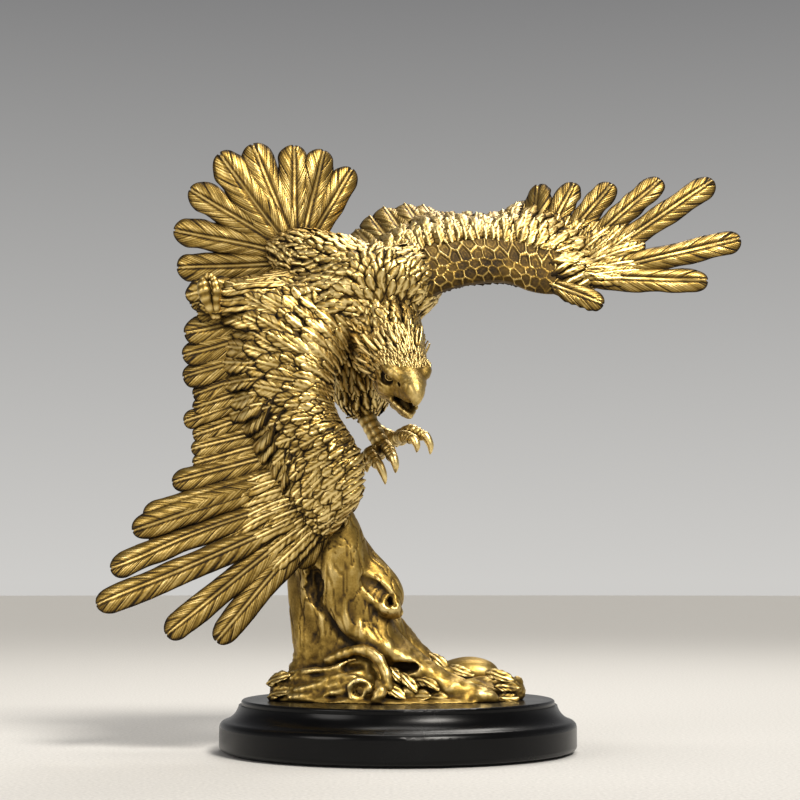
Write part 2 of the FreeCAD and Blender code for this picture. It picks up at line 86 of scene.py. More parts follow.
def unit(vectors):
    """The same ways, each of length 1."""
    return vectors / np.maximum(np.linalg.norm(vectors, axis=-1, keepdims=True), 1e-9)


def smooth(x):
    """0 below 0, 1 above 1, and an even rise between."""
    x = np.clip(x, 0, 1)
    return x * x * (3 - 2 * x)


def spline(rows, share):
    """The curve through evenly spaced rows of numbers, at shares of its length from 0 to 1."""
    rows = np.asarray(rows, float)
    last = len(rows) - 1
    place = np.clip(np.asarray(share, float), 0, 1) * last
    i = np.minimum(place.astype(int), last - 1)
    f = (place - i)[..., None]
    p0, p1, p2, p3 = rows[np.maximum(i - 1, 0)], rows[i], rows[i + 1], rows[np.minimum(i + 2, last)]
    bend = 2 * p0 - 5 * p1 + 4 * p2 - p3
    twist = 3 * p1 - p0 - 3 * p2 + p3
    return 0.5 * (2 * p1 + (p2 - p0) * f + bend * f**2 + twist * f**3)


def headings(rows, share):
    """The way that the curve through rows runs, at shares of its length."""
    step = 0.01
    share = np.asarray(share, float)
    ahead = spline(rows, share + step) - spline(rows, share - step)
    return unit(ahead[..., :3])


def crosswise(way):
    """Two ways that are square to each heading and to each other."""
    side = unit(np.cross(way, LEANING))
    return side, np.cross(way, side)


LATTICE_SIZE = 32
LATTICE = np.random.default_rng(7).uniform(-1, 1, (LATTICE_SIZE,) * 3)
LATTICE_START = 977.0  # an offset that keeps every cell's number positive


def grain(points, size):
    """Smooth noise from -1 to 1, whose lumps are size across. size may differ along x, y and z."""
    place = np.asarray(points) / np.asarray(size, float) + LATTICE_START
    cell = np.floor(place).astype(int)
    f = smooth(place - cell)
    total = 0
    for corner in itertools.product((0, 1), repeat=3):
        weight = np.abs(1 - np.array(corner) - f).prod(-1)
        total = total + weight * LATTICE[tuple(np.moveaxis((cell + corner) % LATTICE_SIZE, -1, 0))]
    return total


# ---------------------------------------------------------------- meshes


class Clay:
    """A mesh in the making: points in drawn millimetres, faces, and each point's patina and painted shade,
    which is 0 in a dark recess or in painted shade and 1 on a rubbed ridge."""

    def __init__(self):
        self.points, self.quads, self.triangles, self.patina_and_shade = [], [], [], []
        self.count = 0

    def add(self, points, quads, triangles, patina_and_shade):
        points = np.asarray(points, float).reshape(-1, 3)
        self.points.append(points)
        self.patina_and_shade.append(np.clip(np.asarray(patina_and_shade, float).ravel(), 0, 1))
        self.quads.append(np.asarray(quads, int).reshape(-1, 4) + self.count)
        self.triangles.append(np.asarray(triangles, int).reshape(-1, 3) + self.count)
        self.count += len(points)

    def build(self, name, material, *nodes):
        """The finished piece. It rides on the root and replaces the CAD nodes that it stands for."""
        points = placed(np.concatenate(self.points))
        quads, triangles = np.concatenate(self.quads), np.concatenate(self.triangles)
        mesh = bpy.data.meshes.new(name)
        mesh.vertices.add(len(points))
        mesh.vertices.foreach_set("co", points.astype(np.float32).ravel())
        corners = np.concatenate([quads.ravel(), triangles.ravel()])
        mesh.loops.add(len(corners))
        mesh.loops.foreach_set("vertex_index", corners.astype(np.int32))
        first_triangle = 4 * len(quads)
        starts = np.append(np.arange(0, first_triangle, 4), first_triangle + 3 * np.arange(len(triangles)))
        mesh.polygons.add(len(starts))
        mesh.polygons.foreach_set("loop_start", starts.astype(np.int32))
        mesh.polygons.foreach_set("use_smooth", np.ones(len(starts), bool))
        mesh.update(calc_edges=True)
        mesh.validate()
        patina_and_shade = mesh.attributes.new("patina_and_shade", "FLOAT", "POINT")
        patina_and_shade.data.foreach_set("value", np.concatenate(self.patina_and_shade).astype(np.float32))
        mesh.materials.append(material)
        piece = bpy.data.objects.new(name, mesh)
        bpy.context.scene.collection.objects.link(piece)
        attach(piece, "root")
        if nodes:
            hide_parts(*nodes)


def vertex_normals(points, quads):
    """The outward way at each point of a closed mesh of quads."""
    a, b, c, d = (points[quads[:, i]] for i in range(4))
    face = np.cross(c - a, d - b)
    total = np.zeros_like(points)
    for i in range(4):
        for axis in range(3):
            total[:, axis] += np.bincount(quads[:, i], face[:, axis], len(points))
    return unit(total)


def neighbour_mean(values, quads, count):
    """Each point's mean over the points that share an edge with it."""
    total = np.zeros((count, values.shape[1]))
    degree = np.zeros(count)
    for i in range(4):
        here, there = quads[:, i], quads[:, (i + 1) % 4]
        for start, end in ((here, there), (there, here)):
            degree += np.bincount(start, minlength=count)
            for axis in range(values.shape[1]):
                total[:, axis] += np.bincount(start, values[end, axis], count)
    return total / degree[:, None]


def softened(points, quads, rounds, pull=0.6):
    """A mesh's points after rounds of evening out, which pull each point towards its neighbours' mean."""
    for _ in range(rounds):
        points = (1 - pull) * points + pull * neighbour_mean(points, quads, len(points))
    return points


def relief_of(points, quads, rounds, depth):
    """0 in hollows and 1 on ridges, at the scale of some rounds of evening out. depth is how deep is dark."""
    even = softened(points, quads, rounds)
    rise = np.einsum("ij,ij->i", points - even, vertex_normals(points, quads))
    return np.clip(0.55 + 0.5 * rise / depth, 0, 1)


def ring_quads(rings, sides):
    """Faces between rings of points that follow one another."""
    r, k = np.meshgrid(np.arange(rings - 1), np.arange(sides), indexing="ij")
    following = (k + 1) % sides
    corners = [r * sides + k, r * sides + following, (r + 1) * sides + following, (r + 1) * sides + k]
    return np.stack(corners, -1).reshape(-1, 4)


def add_skin(clay, rings, ends, patina_and_shade, end_patina_and_shade):
    """A closed skin of rings of points that follow one another, with one more point at each end."""
    steps, sides = rings.shape[:2]
    k = np.arange(sides)
    following = (k + 1) % sides
    last = (steps - 1) * sides
    foot = np.stack([following, k, np.full(sides, steps * sides)], 1)
    tip = np.stack([last + k, last + following, np.full(sides, steps * sides + 1)], 1)
    points = np.concatenate([rings.reshape(-1, 3), ends])
    caps = np.concatenate([foot, tip])
    clay.add(points, ring_quads(steps, sides), caps, np.append(patina_and_shade.ravel(), end_patina_and_shade))


def tube(clay, stations, steps, sides, ripple=None, patina_and_shade=0.6):
    """A round limb through stations of (x, y, z, radius), closed at both ends. ripple(share) scales its
    radius. patina_and_shade is one for all of it or one for each step."""
    share = np.linspace(0, 1, steps)
    path = spline(stations, share)
    way = headings(stations, share)
    side, up = crosswise(way)
    radius = path[:, 3] * (np.ones(steps) if ripple is None else ripple(share))
    turn = np.linspace(0, 2 * np.pi, sides, endpoint=False)
    around = side[:, None] * np.cos(turn)[None, :, None] + up[:, None] * np.sin(turn)[None, :, None]
    rings = path[:, None, :3] + around * radius[:, None, None]
    ends = np.stack([path[0, :3] - way[0] * radius[0] * 0.5, path[-1, :3] + way[-1] * radius[-1] * 0.5])
    shade = np.broadcast_to(patina_and_shade, (steps,))
    add_skin(clay, rings, ends, np.repeat(shade, sides), shade[[0, -1]])


def ringed(centre, side, up, radii, thick, turns=1.0, shrink=0.0, steps=25):
    """Stations around an ellipse, or along a spiral that shrinks as it turns."""
    turn = np.linspace(0, 2 * np.pi * turns, steps)
    scale = 1 - shrink * turn / turn[-1]
    return [(*(centre + side * radii[0] * k * math.cos(a) + up * radii[1] * k * math.sin(a)), thick * k)
            for a, k in zip(turn, scale)]


# ---------------------------------------------------------------- solids blended from simple shapes


class Mass:
    """A solid in the making: how far each point of a grid is from its surface, negative inside."""

    MARGIN = 4  # grid steps around a shape that still feel it
    BAND = 3  # grid steps on either side of the surface that its faces are made from

    def __init__(self, low, high, step):
        self.low, self.step = np.array(low, float), step
        self.shape = np.ceil((np.array(high, float) - self.low) / step).astype(int) + 1
        self.field = np.full(self.shape, 50.0)

    def window(self, low, high):
        """The part of the grid between two corners: its slices and its points."""
        first = np.clip(np.floor((low - self.low) / self.step).astype(int), 0, self.shape - 1)
        last = np.clip(np.ceil((high - self.low) / self.step).astype(int) + 1, 1, self.shape)
        slices = tuple(slice(a, b) for a, b in zip(first, last))
        axes = [self.low[i] + self.step * np.arange(first[i], last[i]) for i in range(3)]
        return slices, np.stack(np.meshgrid(*axes, indexing="ij"), -1)

    def merge(self, slices, distance, blend, carve=False):
        """Joins a shape on, or carves it out, with a fillet about blend wide."""
        sign = -1 if carve else 1
        here = sign * self.field[slices]
        mix = np.clip(0.5 + 0.5 * (distance - here) / blend, 0, 1)
        both = distance * (1 - mix) + here * mix - blend * mix * (1 - mix)
        self.field[slices] = sign * both

    def egg(self, centre, radii, axes=np.eye(3), blend=1.0, carve=False):
        """An ellipsoid. axes are the ways of its three radii."""
        centre, radii = np.asarray(centre, float), np.asarray(radii, float)
        reach = radii.max() + blend + self.MARGIN * self.step
        slices, points = self.window(centre - reach, centre + reach)
        local = (points - centre) @ np.asarray(axes, float).T
        near = np.linalg.norm(local / radii, axis=-1)
        far = np.linalg.norm(local / radii**2, axis=-1)
        self.merge(slices, near * (near - 1) / np.maximum(far, 1e-6), blend, carve)

    def limb(self, stations, steps=8, blend=1.0, carve=False):
        """A round limb through stations of (x, y, z, radius)."""
        path = spline(stations, np.linspace(0, 1, steps))
        for a, b in zip(path[:-1], path[1:]):
            reach = max(a[3], b[3]) + blend + self.MARGIN * self.step
            slices, points = self.window(np.minimum(a, b)[:3] - reach, np.maximum(a, b)[:3] + reach)
            way = (b - a)[:3]
            share = np.clip((points - a[:3]) @ way / (way @ way), 0, 1)
            off = points - a[:3] - share[..., None] * way
            distance = np.linalg.norm(off, axis=-1) - (a[3] + share * (b[3] - a[3]))
            self.merge(slices, distance, blend, carve)

    def above(self, height):
        """Cuts off whatever is lower than height."""
        heights = self.low[2] + self.step * np.arange(self.shape[2])
        self.field = np.maximum(self.field, (height - heights)[None, None, :])

    def mesh(self, rounds=2):
        """The surface as (points, quads), with outward faces."""
        band = self.BAND * self.step
        grid = openvdb.FloatGrid(band)
        grid.copyFromArray(np.clip(self.field, -band, band).astype(np.float32))
        points, quads = grid.convertToQuads(isovalue=0.0)
        points = self.low + np.asarray(points, float) * self.step
        quads = np.asarray(quads, int)
        a, b, c, d = (points[quads[:, i]] for i in range(4))
        if np.einsum("ij,ij->i", a, np.cross(c - a, d - b)).sum() < 0:
            quads = quads[:, ::-1]
        return softened(points, quads, rounds), quads


# ---------------------------------------------------------------- feathers

# How each kind of feather is made. Lengths are in mm, and the rest are shares.
#   rows, end_rows, columns: faces along the vane, around its end, and across it
#   end, taper: how long the rounded end is in half widths, and how blunt
#   root, full: how wide the root is, and where the full width is reached
#   thick, cup, bow, bend: thickness, how far the edges droop, and how far the shaft arches up and sideways
#   rib, flank: height of the shaft, and depth of the grooves beside it
#   sweep: how far the barbs slant towards the end; strand, strand_pitch: their height and spacing
#   tuft, tuft_pitch, slit, pillow, ragged: tufts of barbs, slits between them, the swell, a wavy outline
#   tone, edge, root_shade: brightness, how much darker the edges are (painted shade in the gaps between
# #   feathers), and how much of the root is painted dark (painted shade under the feathers that lap over it)
FLIGHT = dict(
    rows=88, end_rows=26, columns=19, sweep=1.9, end=1.15, taper=0.85, root=0.55, full=0.45, thick=1.2,
    rib=0.42, flank=0.3, pillow=0.15, strand=0.085, strand_pitch=1.15, tuft=0.1, tuft_pitch=5.5, slit=0.34,
    bow=0.03, cup=0.24, bend=0.02, ragged=0.045, tone=0.52, root_shade=0.0, edge=0.35,
)
COVERT = dict(
    FLIGHT, rows=22, end_rows=12, columns=13, sweep=1.3, taper=0.95, root=0.7, full=0.3, thick=0.95,
    rib=0.24, flank=0.22, pillow=0.05, strand=0.08, strand_pitch=1.1, tuft=0.07, tuft_pitch=3.4, slit=0.22,
    bow=0.06, bend=0.06, ragged=0.09, tone=0.72, root_shade=0.1, edge=0.75,
)
LESSER = dict(
    COVERT, rows=10, end_rows=7, columns=9, sweep=0.9, end=1.25, thick=0.85, rib=0.2, flank=0.14, pillow=0.03,
    strand=0.1, tuft=0.05, tuft_pitch=2.4, slit=0.16, bow=0.09, cup=0.26, bend=0.09, tone=0.84, edge=0.55,
)
OPEN = dict(LESSER, root_shade=-0.3)
BODY = dict(
    LESSER, rows=5, end_rows=4, columns=7, sweep=0.8, taper=1.0, root=0.8, thick=0.7, flank=0.12, strand=0.12,
    strand_pitch=1.7, tuft=0.0, slit=0.0, bow=0.12, bend=0.12, cup=0.2, edge=0.5,
)
LEAF = dict(
    COVERT, rows=12, end_rows=8, columns=11, end=2.2, taper=1.2, thick=0.8, rib=0.3, cup=-0.1, bow=0.16,
    bend=0.15, root_shade=-0.3, edge=-0.1,
)
SPIKE = dict(
    BODY, rows=7, columns=5, end=2.6, taper=1.3, thick=0.65, rib=0.16, flank=0.0, strand=0.08,
    strand_pitch=1.4, bow=0.1, edge=0.25,
)


def strands(draw, spacing, look):
    """The relief of one vane's barbs at each row of each feather: uneven strands, gathered into tufts, with
    thin slits between some of the tufts. spacing is how far each row is from the one before."""
    pace = draw.uniform(0.7, 1.35, spacing.shape) * np.minimum(spacing / look["strand_pitch"], 0.38)
    wave = np.sin(2 * np.pi * (np.cumsum(pace, 1) + draw.uniform(0, 1, (len(spacing), 1))))
    wave = wave * draw.uniform(0.45, 1.1, spacing.shape)
    pace = draw.uniform(0.5, 1.6, spacing.shape) * spacing / look["tuft_pitch"]
    place = (np.cumsum(pace, 1) + draw.uniform(0, 1, (len(spacing), 1))) % 1
    tuft = smooth(place / 0.75) - smooth((place - 0.85) / 0.15)
    slit = np.exp(-(((place - 0.95) / 0.06) ** 2)) * (draw.uniform(0, 1, spacing.shape) < 0.6)
    return wave, tuft, slit


def blade_faces(rows, columns):
    """Faces of a closed blade whose rings run across its top and back across its bottom, which has no points
    of its own at the two edges."""
    sides = 2 * columns - 2
    quads, triangles = [ring_quads(rows, sides)], []
    last = (rows - 1) * sides
    for i in range(columns - 1):
        under, under_next = (sides - i) % sides, sides - i - 1
        if i == 0:
            triangles += [(0, under_next, 1), (last, last + 1, last + under_next)]
        elif i == columns - 2:
            triangles += [(i, under, i + 1), (last + i, last + i + 1, last + under)]
        else:
            quads.append([(i, under, under_next, i + 1)])
            quads.append([(last + i, last + i + 1, last + under_next, last + under)])
    return np.concatenate(quads)[:, ::-1], np.array(triangles)[:, ::-1]


def feathers(clay, roots, tips, faces, widths, look, seed, curl=0.0):
    """Closed feathers, one from each root to its tip, with the broad side towards faces. curl lifts ends."""
    roots, tips, faces = (np.asarray(rows, float) for rows in (roots, tips, faces))
    count = len(roots)
    draw = np.random.default_rng(seed)
    length = np.linalg.norm(tips - roots, axis=1)
    ahead = unit(tips - roots)
    across = unit(np.cross(faces, ahead))
    outward = np.cross(ahead, across)
    half = np.broadcast_to(np.asarray(widths, float) / 2, (count,))

    # the outline: how far along each row is, and its width as a share of the feather's
    shaft = np.linspace(0, 1, look["rows"], endpoint=False)
    turn = np.linspace(0, np.pi / 2 * 0.96, look["end_rows"])
    end = np.minimum(half * look["end"] * draw.uniform(0.85, 1.3, count), length * 0.6)
    straight = (length - end)[:, None]
    along = np.concatenate([straight * shaft, straight + end[:, None] * np.sin(turn)], 1)
    swell = look["root"] + (1 - look["root"]) * smooth(shaft / look["full"])
    spread = np.concatenate([swell, np.cos(turn) ** look["taper"]])
    rows = len(spread)
    share = (along / length[:, None])[..., None]

    # barbs on either side of the shaft, which fade out at the shaft itself
    column = np.linspace(-1, 1, look["columns"])
    column = np.sign(column) * np.abs(column) ** 1.2
    outer = np.abs(column)
    vane = along - 0.6 * look["sweep"] * half[:, None] * spread
    spacing = np.diff(vane, axis=1, prepend=vane[:, :1])
    left, right = strands(draw, spacing, look), strands(draw, spacing, look)
    one_side = (column < 0)[None, None, :]
    wave, tuft, slit = (np.where(one_side, a[..., None], b[..., None]) for a, b in zip(left, right))
    reach = np.clip((outer - 0.05) / 0.2, 0, 1)
    wave, tuft = wave * reach, tuft * reach
    slit = slit * np.clip((outer - 0.3) / 0.4, 0, 1)

    # where each point lies along its feather (x), across it (y) and outward (z)
    width = (half[:, None] * spread)[..., None]
    beat = draw.uniform(2, 6, (2, count, 1, 1))
    start = draw.uniform(0, 2 * np.pi, (2, count, 1, 1))
    sway = np.sin(6 * beat * share + start)
    wander = np.where(one_side, sway[0], sway[1])
    width = width * (1 - 0.1 * look["tuft"] * (1 - tuft)) * (1 + look["ragged"] * wander)
    x = along[..., None] - look["sweep"] * width * (1 - outer**1.4)
    y = width * column
    z = length[:, None, None] * (look["bow"] * 4 * share * (1 - share) + curl * share**3)
    z = z - look["cup"] * width * outer**2 + look["pillow"] * width * np.sin(np.pi * outer**0.85)
    swing = draw.uniform(0, 2 * np.pi, (count, 1, 1))
    z = z + 0.05 * half[:, None, None] * np.sin(9 * share + 2 * column + swing)

    # the relief on the vane, and the tone that goes with it
    rib = np.exp(-((y / 0.3) ** 2)) * (1 - 0.5 * share)
    flank = np.exp(-(((np.abs(y) - 0.7) / 0.35) ** 2)) * (1 - 0.4 * share)
    barbs = look["strand"] * wave + look["tuft"] * (tuft - 0.6 * reach) - look["slit"] * slit
    lift = look["rib"] * rib - look["flank"] * flank + barbs * (1 - 0.5 * outer**8)
    bend = draw.uniform(-1, 1, (count, 1, 1)) * look["bend"] * length[:, None, None] * 4 * share * (1 - share)
    body = look["thick"] / 2 * (1 - 0.8 * outer**3) * (1 - 0.45 * share)
    has = {part: look[part] > 0 for part in ("tuft", "slit", "rib", "flank")}
    tone = look["tone"] + 0.2 * wave + 0.16 * (tuft - 0.6 * reach) * has["tuft"] - 0.75 * slit * has["slit"]
    # painted shade: the edges of each vane are darkened (look edge) as shade in the gaps between feathers
    tone = tone + 0.3 * rib * has["rib"] - 0.7 * flank * has["flank"] - look["edge"] * outer**6
    # painted shade: each root is darkened (root_shade) where the feathers before it lap over it
    tone = tone * (0.1 + 0.9 * smooth((share - look["root_shade"]) / 0.35))

    # both faces, which meet at the edges
    def points_at(x, y, z):
        place = x[..., None] * ahead[:, None, None] + (y + bend)[..., None] * across[:, None, None]
        return roots[:, None, None] + place + z[..., None] * outward[:, None, None]

    top = points_at(x, y, z + body + lift)
    bottom = points_at(x, y, z - body - 0.5 * lift)
    top[:, :, [0, -1]] = 0.5 * (top + bottom)[:, :, [0, -1]]
    rings = np.concatenate([top, bottom[:, :, -2:0:-1]], 2)
    tones = np.concatenate([tone, tone[:, :, -2:0:-1]], 2)
    quads, triangles = blade_faces(rows, look["columns"])
    shift = (np.arange(count) * rings.shape[1] * rings.shape[2])[:, None, None]
    clay.add(rings, (quads + shift).reshape(-1, 4), (triangles + shift).reshape(-1, 3), tones)


def fan(clay, roots, tips, face, widths, look, seed, tilt=0.12):
    """A row of flight feathers, from roots that are spaced along one curve to the given tips. They lie in the
    sheet that the row makes, on the side that face is on. Each turns a little about its shaft, so that
    neighbours lap like tiles."""
    tips = np.asarray(tips, float)
    starts = spline(roots, np.linspace(0, 1, len(tips)))
    following = unit(np.gradient(tips, axis=0) + np.gradient(starts, axis=0))
    faces = unit(np.cross(tips - starts, following))
    faces = faces * np.where(faces @ np.asarray(face, float) < 0, -1, 1)[:, None]
    sideways = unit(np.cross(tips - starts, faces))
    feathers(clay, starts, tips, faces + sideways * tilt, widths, look, seed)


# ---------------------------------------------------------------- wings


def wing_points(wing, span, chord, side):
    """Points on a wing's flesh and the outward ways there. span runs from the body to the tip and chord from
    the leading edge to the trailing one, both 0 to 1. side is 1 for the viewer's face, -1 for the other."""
    leading = np.array([station[0] for station in wing], float)
    trailing = np.array([station[1] for station in wing], float)
    thickness = np.array([[station[2]] for station in wing], float)
    span, chord = np.broadcast_arrays(np.asarray(span, float), np.asarray(chord, float))
    front, back = spline(leading, span), spline(trailing, span)
    way = headings((leading + trailing) / 2, span)
    across = back - front
    face = unit(np.cross(across, way))
    face = face * np.where((face @ TO_VIEWER) < 0, -1, 1)[..., None] * side
    lean = np.clip(2 * chord - 1, -1, 1)[..., None]
    bulge = np.sqrt(np.maximum(1 - lean**2, 0))
    half_thick = spline(thickness, span) / 2
    half_chord = np.linalg.norm(across, axis=-1, keepdims=True) / 2
    point = front + across * chord[..., None] + face * bulge * half_thick
    outward = unit(unit(across) * lean / half_chord + face * bulge / half_thick)
    return point, outward


# painted shade: the flesh under the feathers is dark so that the gaps between feathers look shaded
FLESH_SHADE_TONE = 0.25


def wing_flesh(clay, wing, steps=60, sides=36, net=None):
    """The closed solid under a wing's feathers. net is (first, last, low, high): the span and the millimetres
    from the leading edge between which scales with raised rims cover it."""
    turn = np.linspace(0, 2 * np.pi, sides, endpoint=False)
    span = np.linspace(0, 1, steps)[:, None]
    chord = 0.5 + 0.5 * np.cos(turn)[None]
    near, near_out = wing_points(wing, span, chord, 1)
    far, far_out = wing_points(wing, span, chord, -1)
    on_near = (np.sin(turn) >= 0)[None, :, None]
    rings, outward = np.where(on_near, near, far), np.where(on_near, near_out, far_out)
    middle = rings.mean(1, keepdims=True)
    rings = middle + (rings - middle) * 0.94
    # painted shade on the flesh, outside the net of scales
    tone = np.full((steps, sides), FLESH_SHADE_TONE)
    if net:
        rim, inside = scale_net(rings, span, net)
        rings = rings + outward * ((0.65 * rim + 0.25) * inside)[..., None]
        tone = tone * (1 - inside) + inside * (0.2 + 0.62 * rim)
    add_skin(clay, rings, middle[[0, -1], 0], tone, (FLESH_SHADE_TONE, FLESH_SHADE_TONE))


NET_WIDE, NET_TALL = 3.5, 2.9  # a scale's size
NET_ROUND = 8.5  # how far from the leading edge the scales are round: beyond that they are tall


def scale_net(rings, span, net):
    """For each point of a wing's rings, how near it is to a rim of the net of scales, and how far inside the
    net's edges."""
    first, last, low, high = net
    steps, sides = rings.shape[:2]
    edge = sides // 2
    along = np.append(0, np.cumsum(np.linalg.norm(np.diff(rings[:, edge], axis=0), axis=1)))
    around = np.linalg.norm(np.diff(rings, axis=1, append=rings[:, :1]), axis=2)
    around = np.cumsum(around, 1) - around
    around = around[:, edge:edge + 1] - around
    row = np.where(around > NET_ROUND, NET_ROUND + (around - NET_ROUND) * 0.42, around)
    draw = np.random.default_rng(77)
    columns, rows = np.arange(-1, along[-1] / NET_WIDE + 1), np.arange(-3, high / NET_TALL + 2)
    across, up = np.meshgrid(columns, rows, indexing="ij")
    centres = np.stack([(across + 0.5 * (up % 2)) * NET_WIDE, up * NET_TALL], -1).reshape(-1, 2)
    centres = centres + draw.uniform(-0.75, 0.75, centres.shape)
    place = np.stack(np.broadcast_arrays(along[:, None], row), -1).reshape(-1, 2)
    gaps = np.sort(np.linalg.norm(place[:, None] - centres[None], axis=2), axis=1)[:, :2]
    from_rim = (gaps[:, 1] - gaps[:, 0]).reshape(steps, sides)
    worn = 0.72 + 0.5 * grain(rings, 2.4)
    arcs = 0.42 * np.cos(np.pi * from_rim / 0.75) * (around > NET_ROUND) * np.exp(-from_rim / 3)
    rim = np.exp(-((from_rim / 0.42) ** 2)) + arcs
    rim = np.clip(rim * worn + 0.14 * grain(rings, 0.8), 0, 1)
    inside = smooth((span - first) / 0.04) * smooth((last - span) / 0.04)
    inside = inside * smooth((around - low) / 0.8) * smooth((high - around) / 0.8)
    return rim, inside


def covert_rows(clay, wing, rows, side, seed, turning=0.55):
    """Rows of coverts on one face of a wing. A row is (chord at the roots, chord at the tips, span of the
    first, span of the last, count, width, lift of the tips, slant along the span, look). From the span
    turning onward they slant far more."""
    for i, (root, tip, first, last, count, width, lift, slant, look) in enumerate(rows):
        draw = np.random.default_rng(seed + i)
        pitch = (last - first) / count
        span = first + pitch * (np.arange(count) + 0.5 * (i % 2) + draw.uniform(-0.22, 0.22, count))
        here, outward = wing_points(wing, span, root + draw.uniform(-0.015, 0.015, count), side)
        slants = slant * (1 + 8 * smooth((span - turning) / 0.35))
        ends = tip + draw.uniform(-0.035, 0.035, count)
        there, outward_there = wing_points(wing, span + slants, ends, side)
        lifts = lift * draw.uniform(0.6, 1.4, (count, 1))
        lean = unit(np.cross(outward, there - here)) * draw.uniform(0.05, 0.45, (count, 1))
        widths = width * draw.uniform(0.82, 1.15, count)
        tips = there + outward_there * lifts
        feathers(clay, here - outward * 0.5, tips, outward + outward_there + lean, widths, look, seed + i)


def quill_covers(clay, roots, tips, face, seed):
    """Two rows of coverts over the foot of a fan of flight feathers."""
    face = np.asarray(face, float)
    for i, (reach, count, width, lift) in enumerate([(0.42, 11, 5.0, 1.5), (0.27, 13, 4.2, 2.4)]):
        place = np.linspace(0, 1, count)
        starts, ends = spline(roots, place), spline(tips, place)
        lifted = np.asarray(roots, float) + face * lift
        ends = starts + (ends - starts) * reach + face * lift
        fan(clay, lifted, ends, face, width, COVERT, seed + i, tilt=0.2)


RIGHT_WING = [  # leading point, trailing point, thickness, from the body to the tip
    ((-7, -6, 135), (-34, 2, 157), 16),
    ((-15, -12, 129), (-42, -4, 151), 15),
    ((-20, -17, 120), (-51, -10, 144.5), 14),
    ((-20.5, -20, 110.5), (-51, -13, 130), 13),
    ((-17, -22, 102.5), (-49.5, -15, 117.5), 12.5),
    ((-12, -24, 94.5), (-47, -16, 107.5), 12.5),
    ((-11, -25, 87.5), (-41.5, -17, 96.5), 12),
    ((-12, -24, 80.5), (-36, -18, 84), 11),
    ((-17, -22, 74), (-31.5, -18, 77.5), 8.5),
    ((-21.5, -20, 69), (-28, -18, 71), 5),
]
RIGHT_SECONDARY_ROOTS = [(-40, -7, 144), (-38, -13, 127), (-35, -16, 112), (-29, -18, 97)]
RIGHT_SECONDARY_TIPS = [
    (-65, -13, 140.5),
    (-69, -13, 134),
    (-69.5, -13, 126.8),
    (-69.3, -13, 119.8),
    (-66, -13, 114),
    (-66, -13, 109.8),
    (-69, -12, 105.6),
    (-66, -12, 101),
    (-66.5, -12, 96.6),
    (-66, -12, 92),
    (-72.5, -12, 86),
]
RIGHT_SECONDARY_WIDTHS = [8.5, 10.5, 9.6, 9.6, 8, 7, 6.6, 6.6, 7, 7.5, 8.5]
TERTIAL_ROOTS = [(-30, -11, 144), (-27, -8, 149), (-24, -4, 153), (-22, -1, 157)]
TERTIAL_TIPS = [
    (-61, -15, 141.5),
    (-59, -14, 144.5),
    (-57.5, -13, 147.5),
    (-54, -11.5, 150),
    (-50, -9, 152),
    (-44.5, -6.5, 154),
    (-39, -3, 156.5),
]
LOOSE_FEATHERS = [  # root, tip, width: behind the curled one, and below it
    ((-54, -5, 150), (-69.5, -7, 147.5), 8),
    ((-52, -13, 141), (-64, -15, 143.2), 5),
]
RIGHT_PRIMARY_ROOTS = [(-30, -18, 91), (-27, -19, 83), (-25, -19, 76), (-22, -19, 73)]
RIGHT_PRIMARY_TIPS = [
    (-81.5, -12, 75),
    (-85, -12, 70.5),
    (-80, -9, 67),
    (-92, -11, 58.5),
    (-96, -13, 47),
    (-73.5, -14, 37.5),
    (-57.5, -16, 35.5),
    (-32, -17, 59),
]
SCROLL = [  # a feather that curls up into a roll, drawn as its two lips and the fold that joins them
    [(-58.6, -14, 139, 1.2), (-61, -15.5, 143.5, 1.7), (-62.2, -16, 147.5, 2.3), (-62.8, -15.6, 150.6, 1.8)],
    [(-58, -14, 139, 1.2), (-58.4, -16, 143.5, 1.3), (-58.2, -17, 147.5, 1.5), (-59, -16.4, 150.6, 1.3)],
    [(-63.4, -15, 149.8, 1.4), (-62, -15.2, 151.7, 1.4), (-60.2, -15.6, 152, 1.2), (-58.8, -16.2, 150.4, 1.2)]
]
RIGHT_FRONT_ROWS = [  # as covert_rows() takes them
    (0.80, 1.20, 0.14, 0.84, 16, 7.2, 0.7, 0.011, COVERT),
    (0.66, 1.10, 0.00, 0.93, 19, 6.8, 1.5, 0.013, COVERT),
    (0.52, 0.94, 0.00, 0.88, 18, 6.5, 1.8, 0.013, COVERT),
    (0.38, 0.80, 0.00, 0.95, 19, 6.2, 2.1, 0.013, COVERT),
    (0.29, 0.66, 0.00, 0.88, 18, 5.8, 2.1, 0.013, COVERT),
]
RIGHT_SMALL_ROWS = [
    (0.46, 0.70, 0.00, 0.20, 5, 4.8, 2.6, 0.01, LESSER),
    (0.32, 0.56, 0.00, 0.22, 6, 4.4, 2.8, 0.01, LESSER),
    (0.18, 0.40, 0.00, 0.24, 7, 4.0, 2.6, 0.01, LESSER),
    (0.20, 0.54, 0.01, 0.95, 23, 5.1, 2.1, 0.012, COVERT),
    (0.12, 0.40, 0.02, 0.96, 27, 4.2, 1.8, 0.011, LESSER),
    (0.06, 0.28, 0.02, 0.97, 32, 3.8, 1.5, 0.01, OPEN),
    (0.00, 0.17, 0.02, 0.98, 37, 3.4, 1.3, 0.009, OPEN),
]
RIGHT_BACK_ROWS = [
    (0.66, 1.08, 0.02, 0.92, 18, 8.6, 0.8, 0.01, COVERT),
    (0.40, 0.82, 0.01, 0.94, 21, 7.4, 0.9, 0.01, COVERT),
    (0.18, 0.55, 0.00, 0.95, 26, 6.2, 0.9, 0.01, COVERT),
    (0.03, 0.30, 0.00, 0.96, 32, 5.0, 0.8, 0.01, OPEN),
]

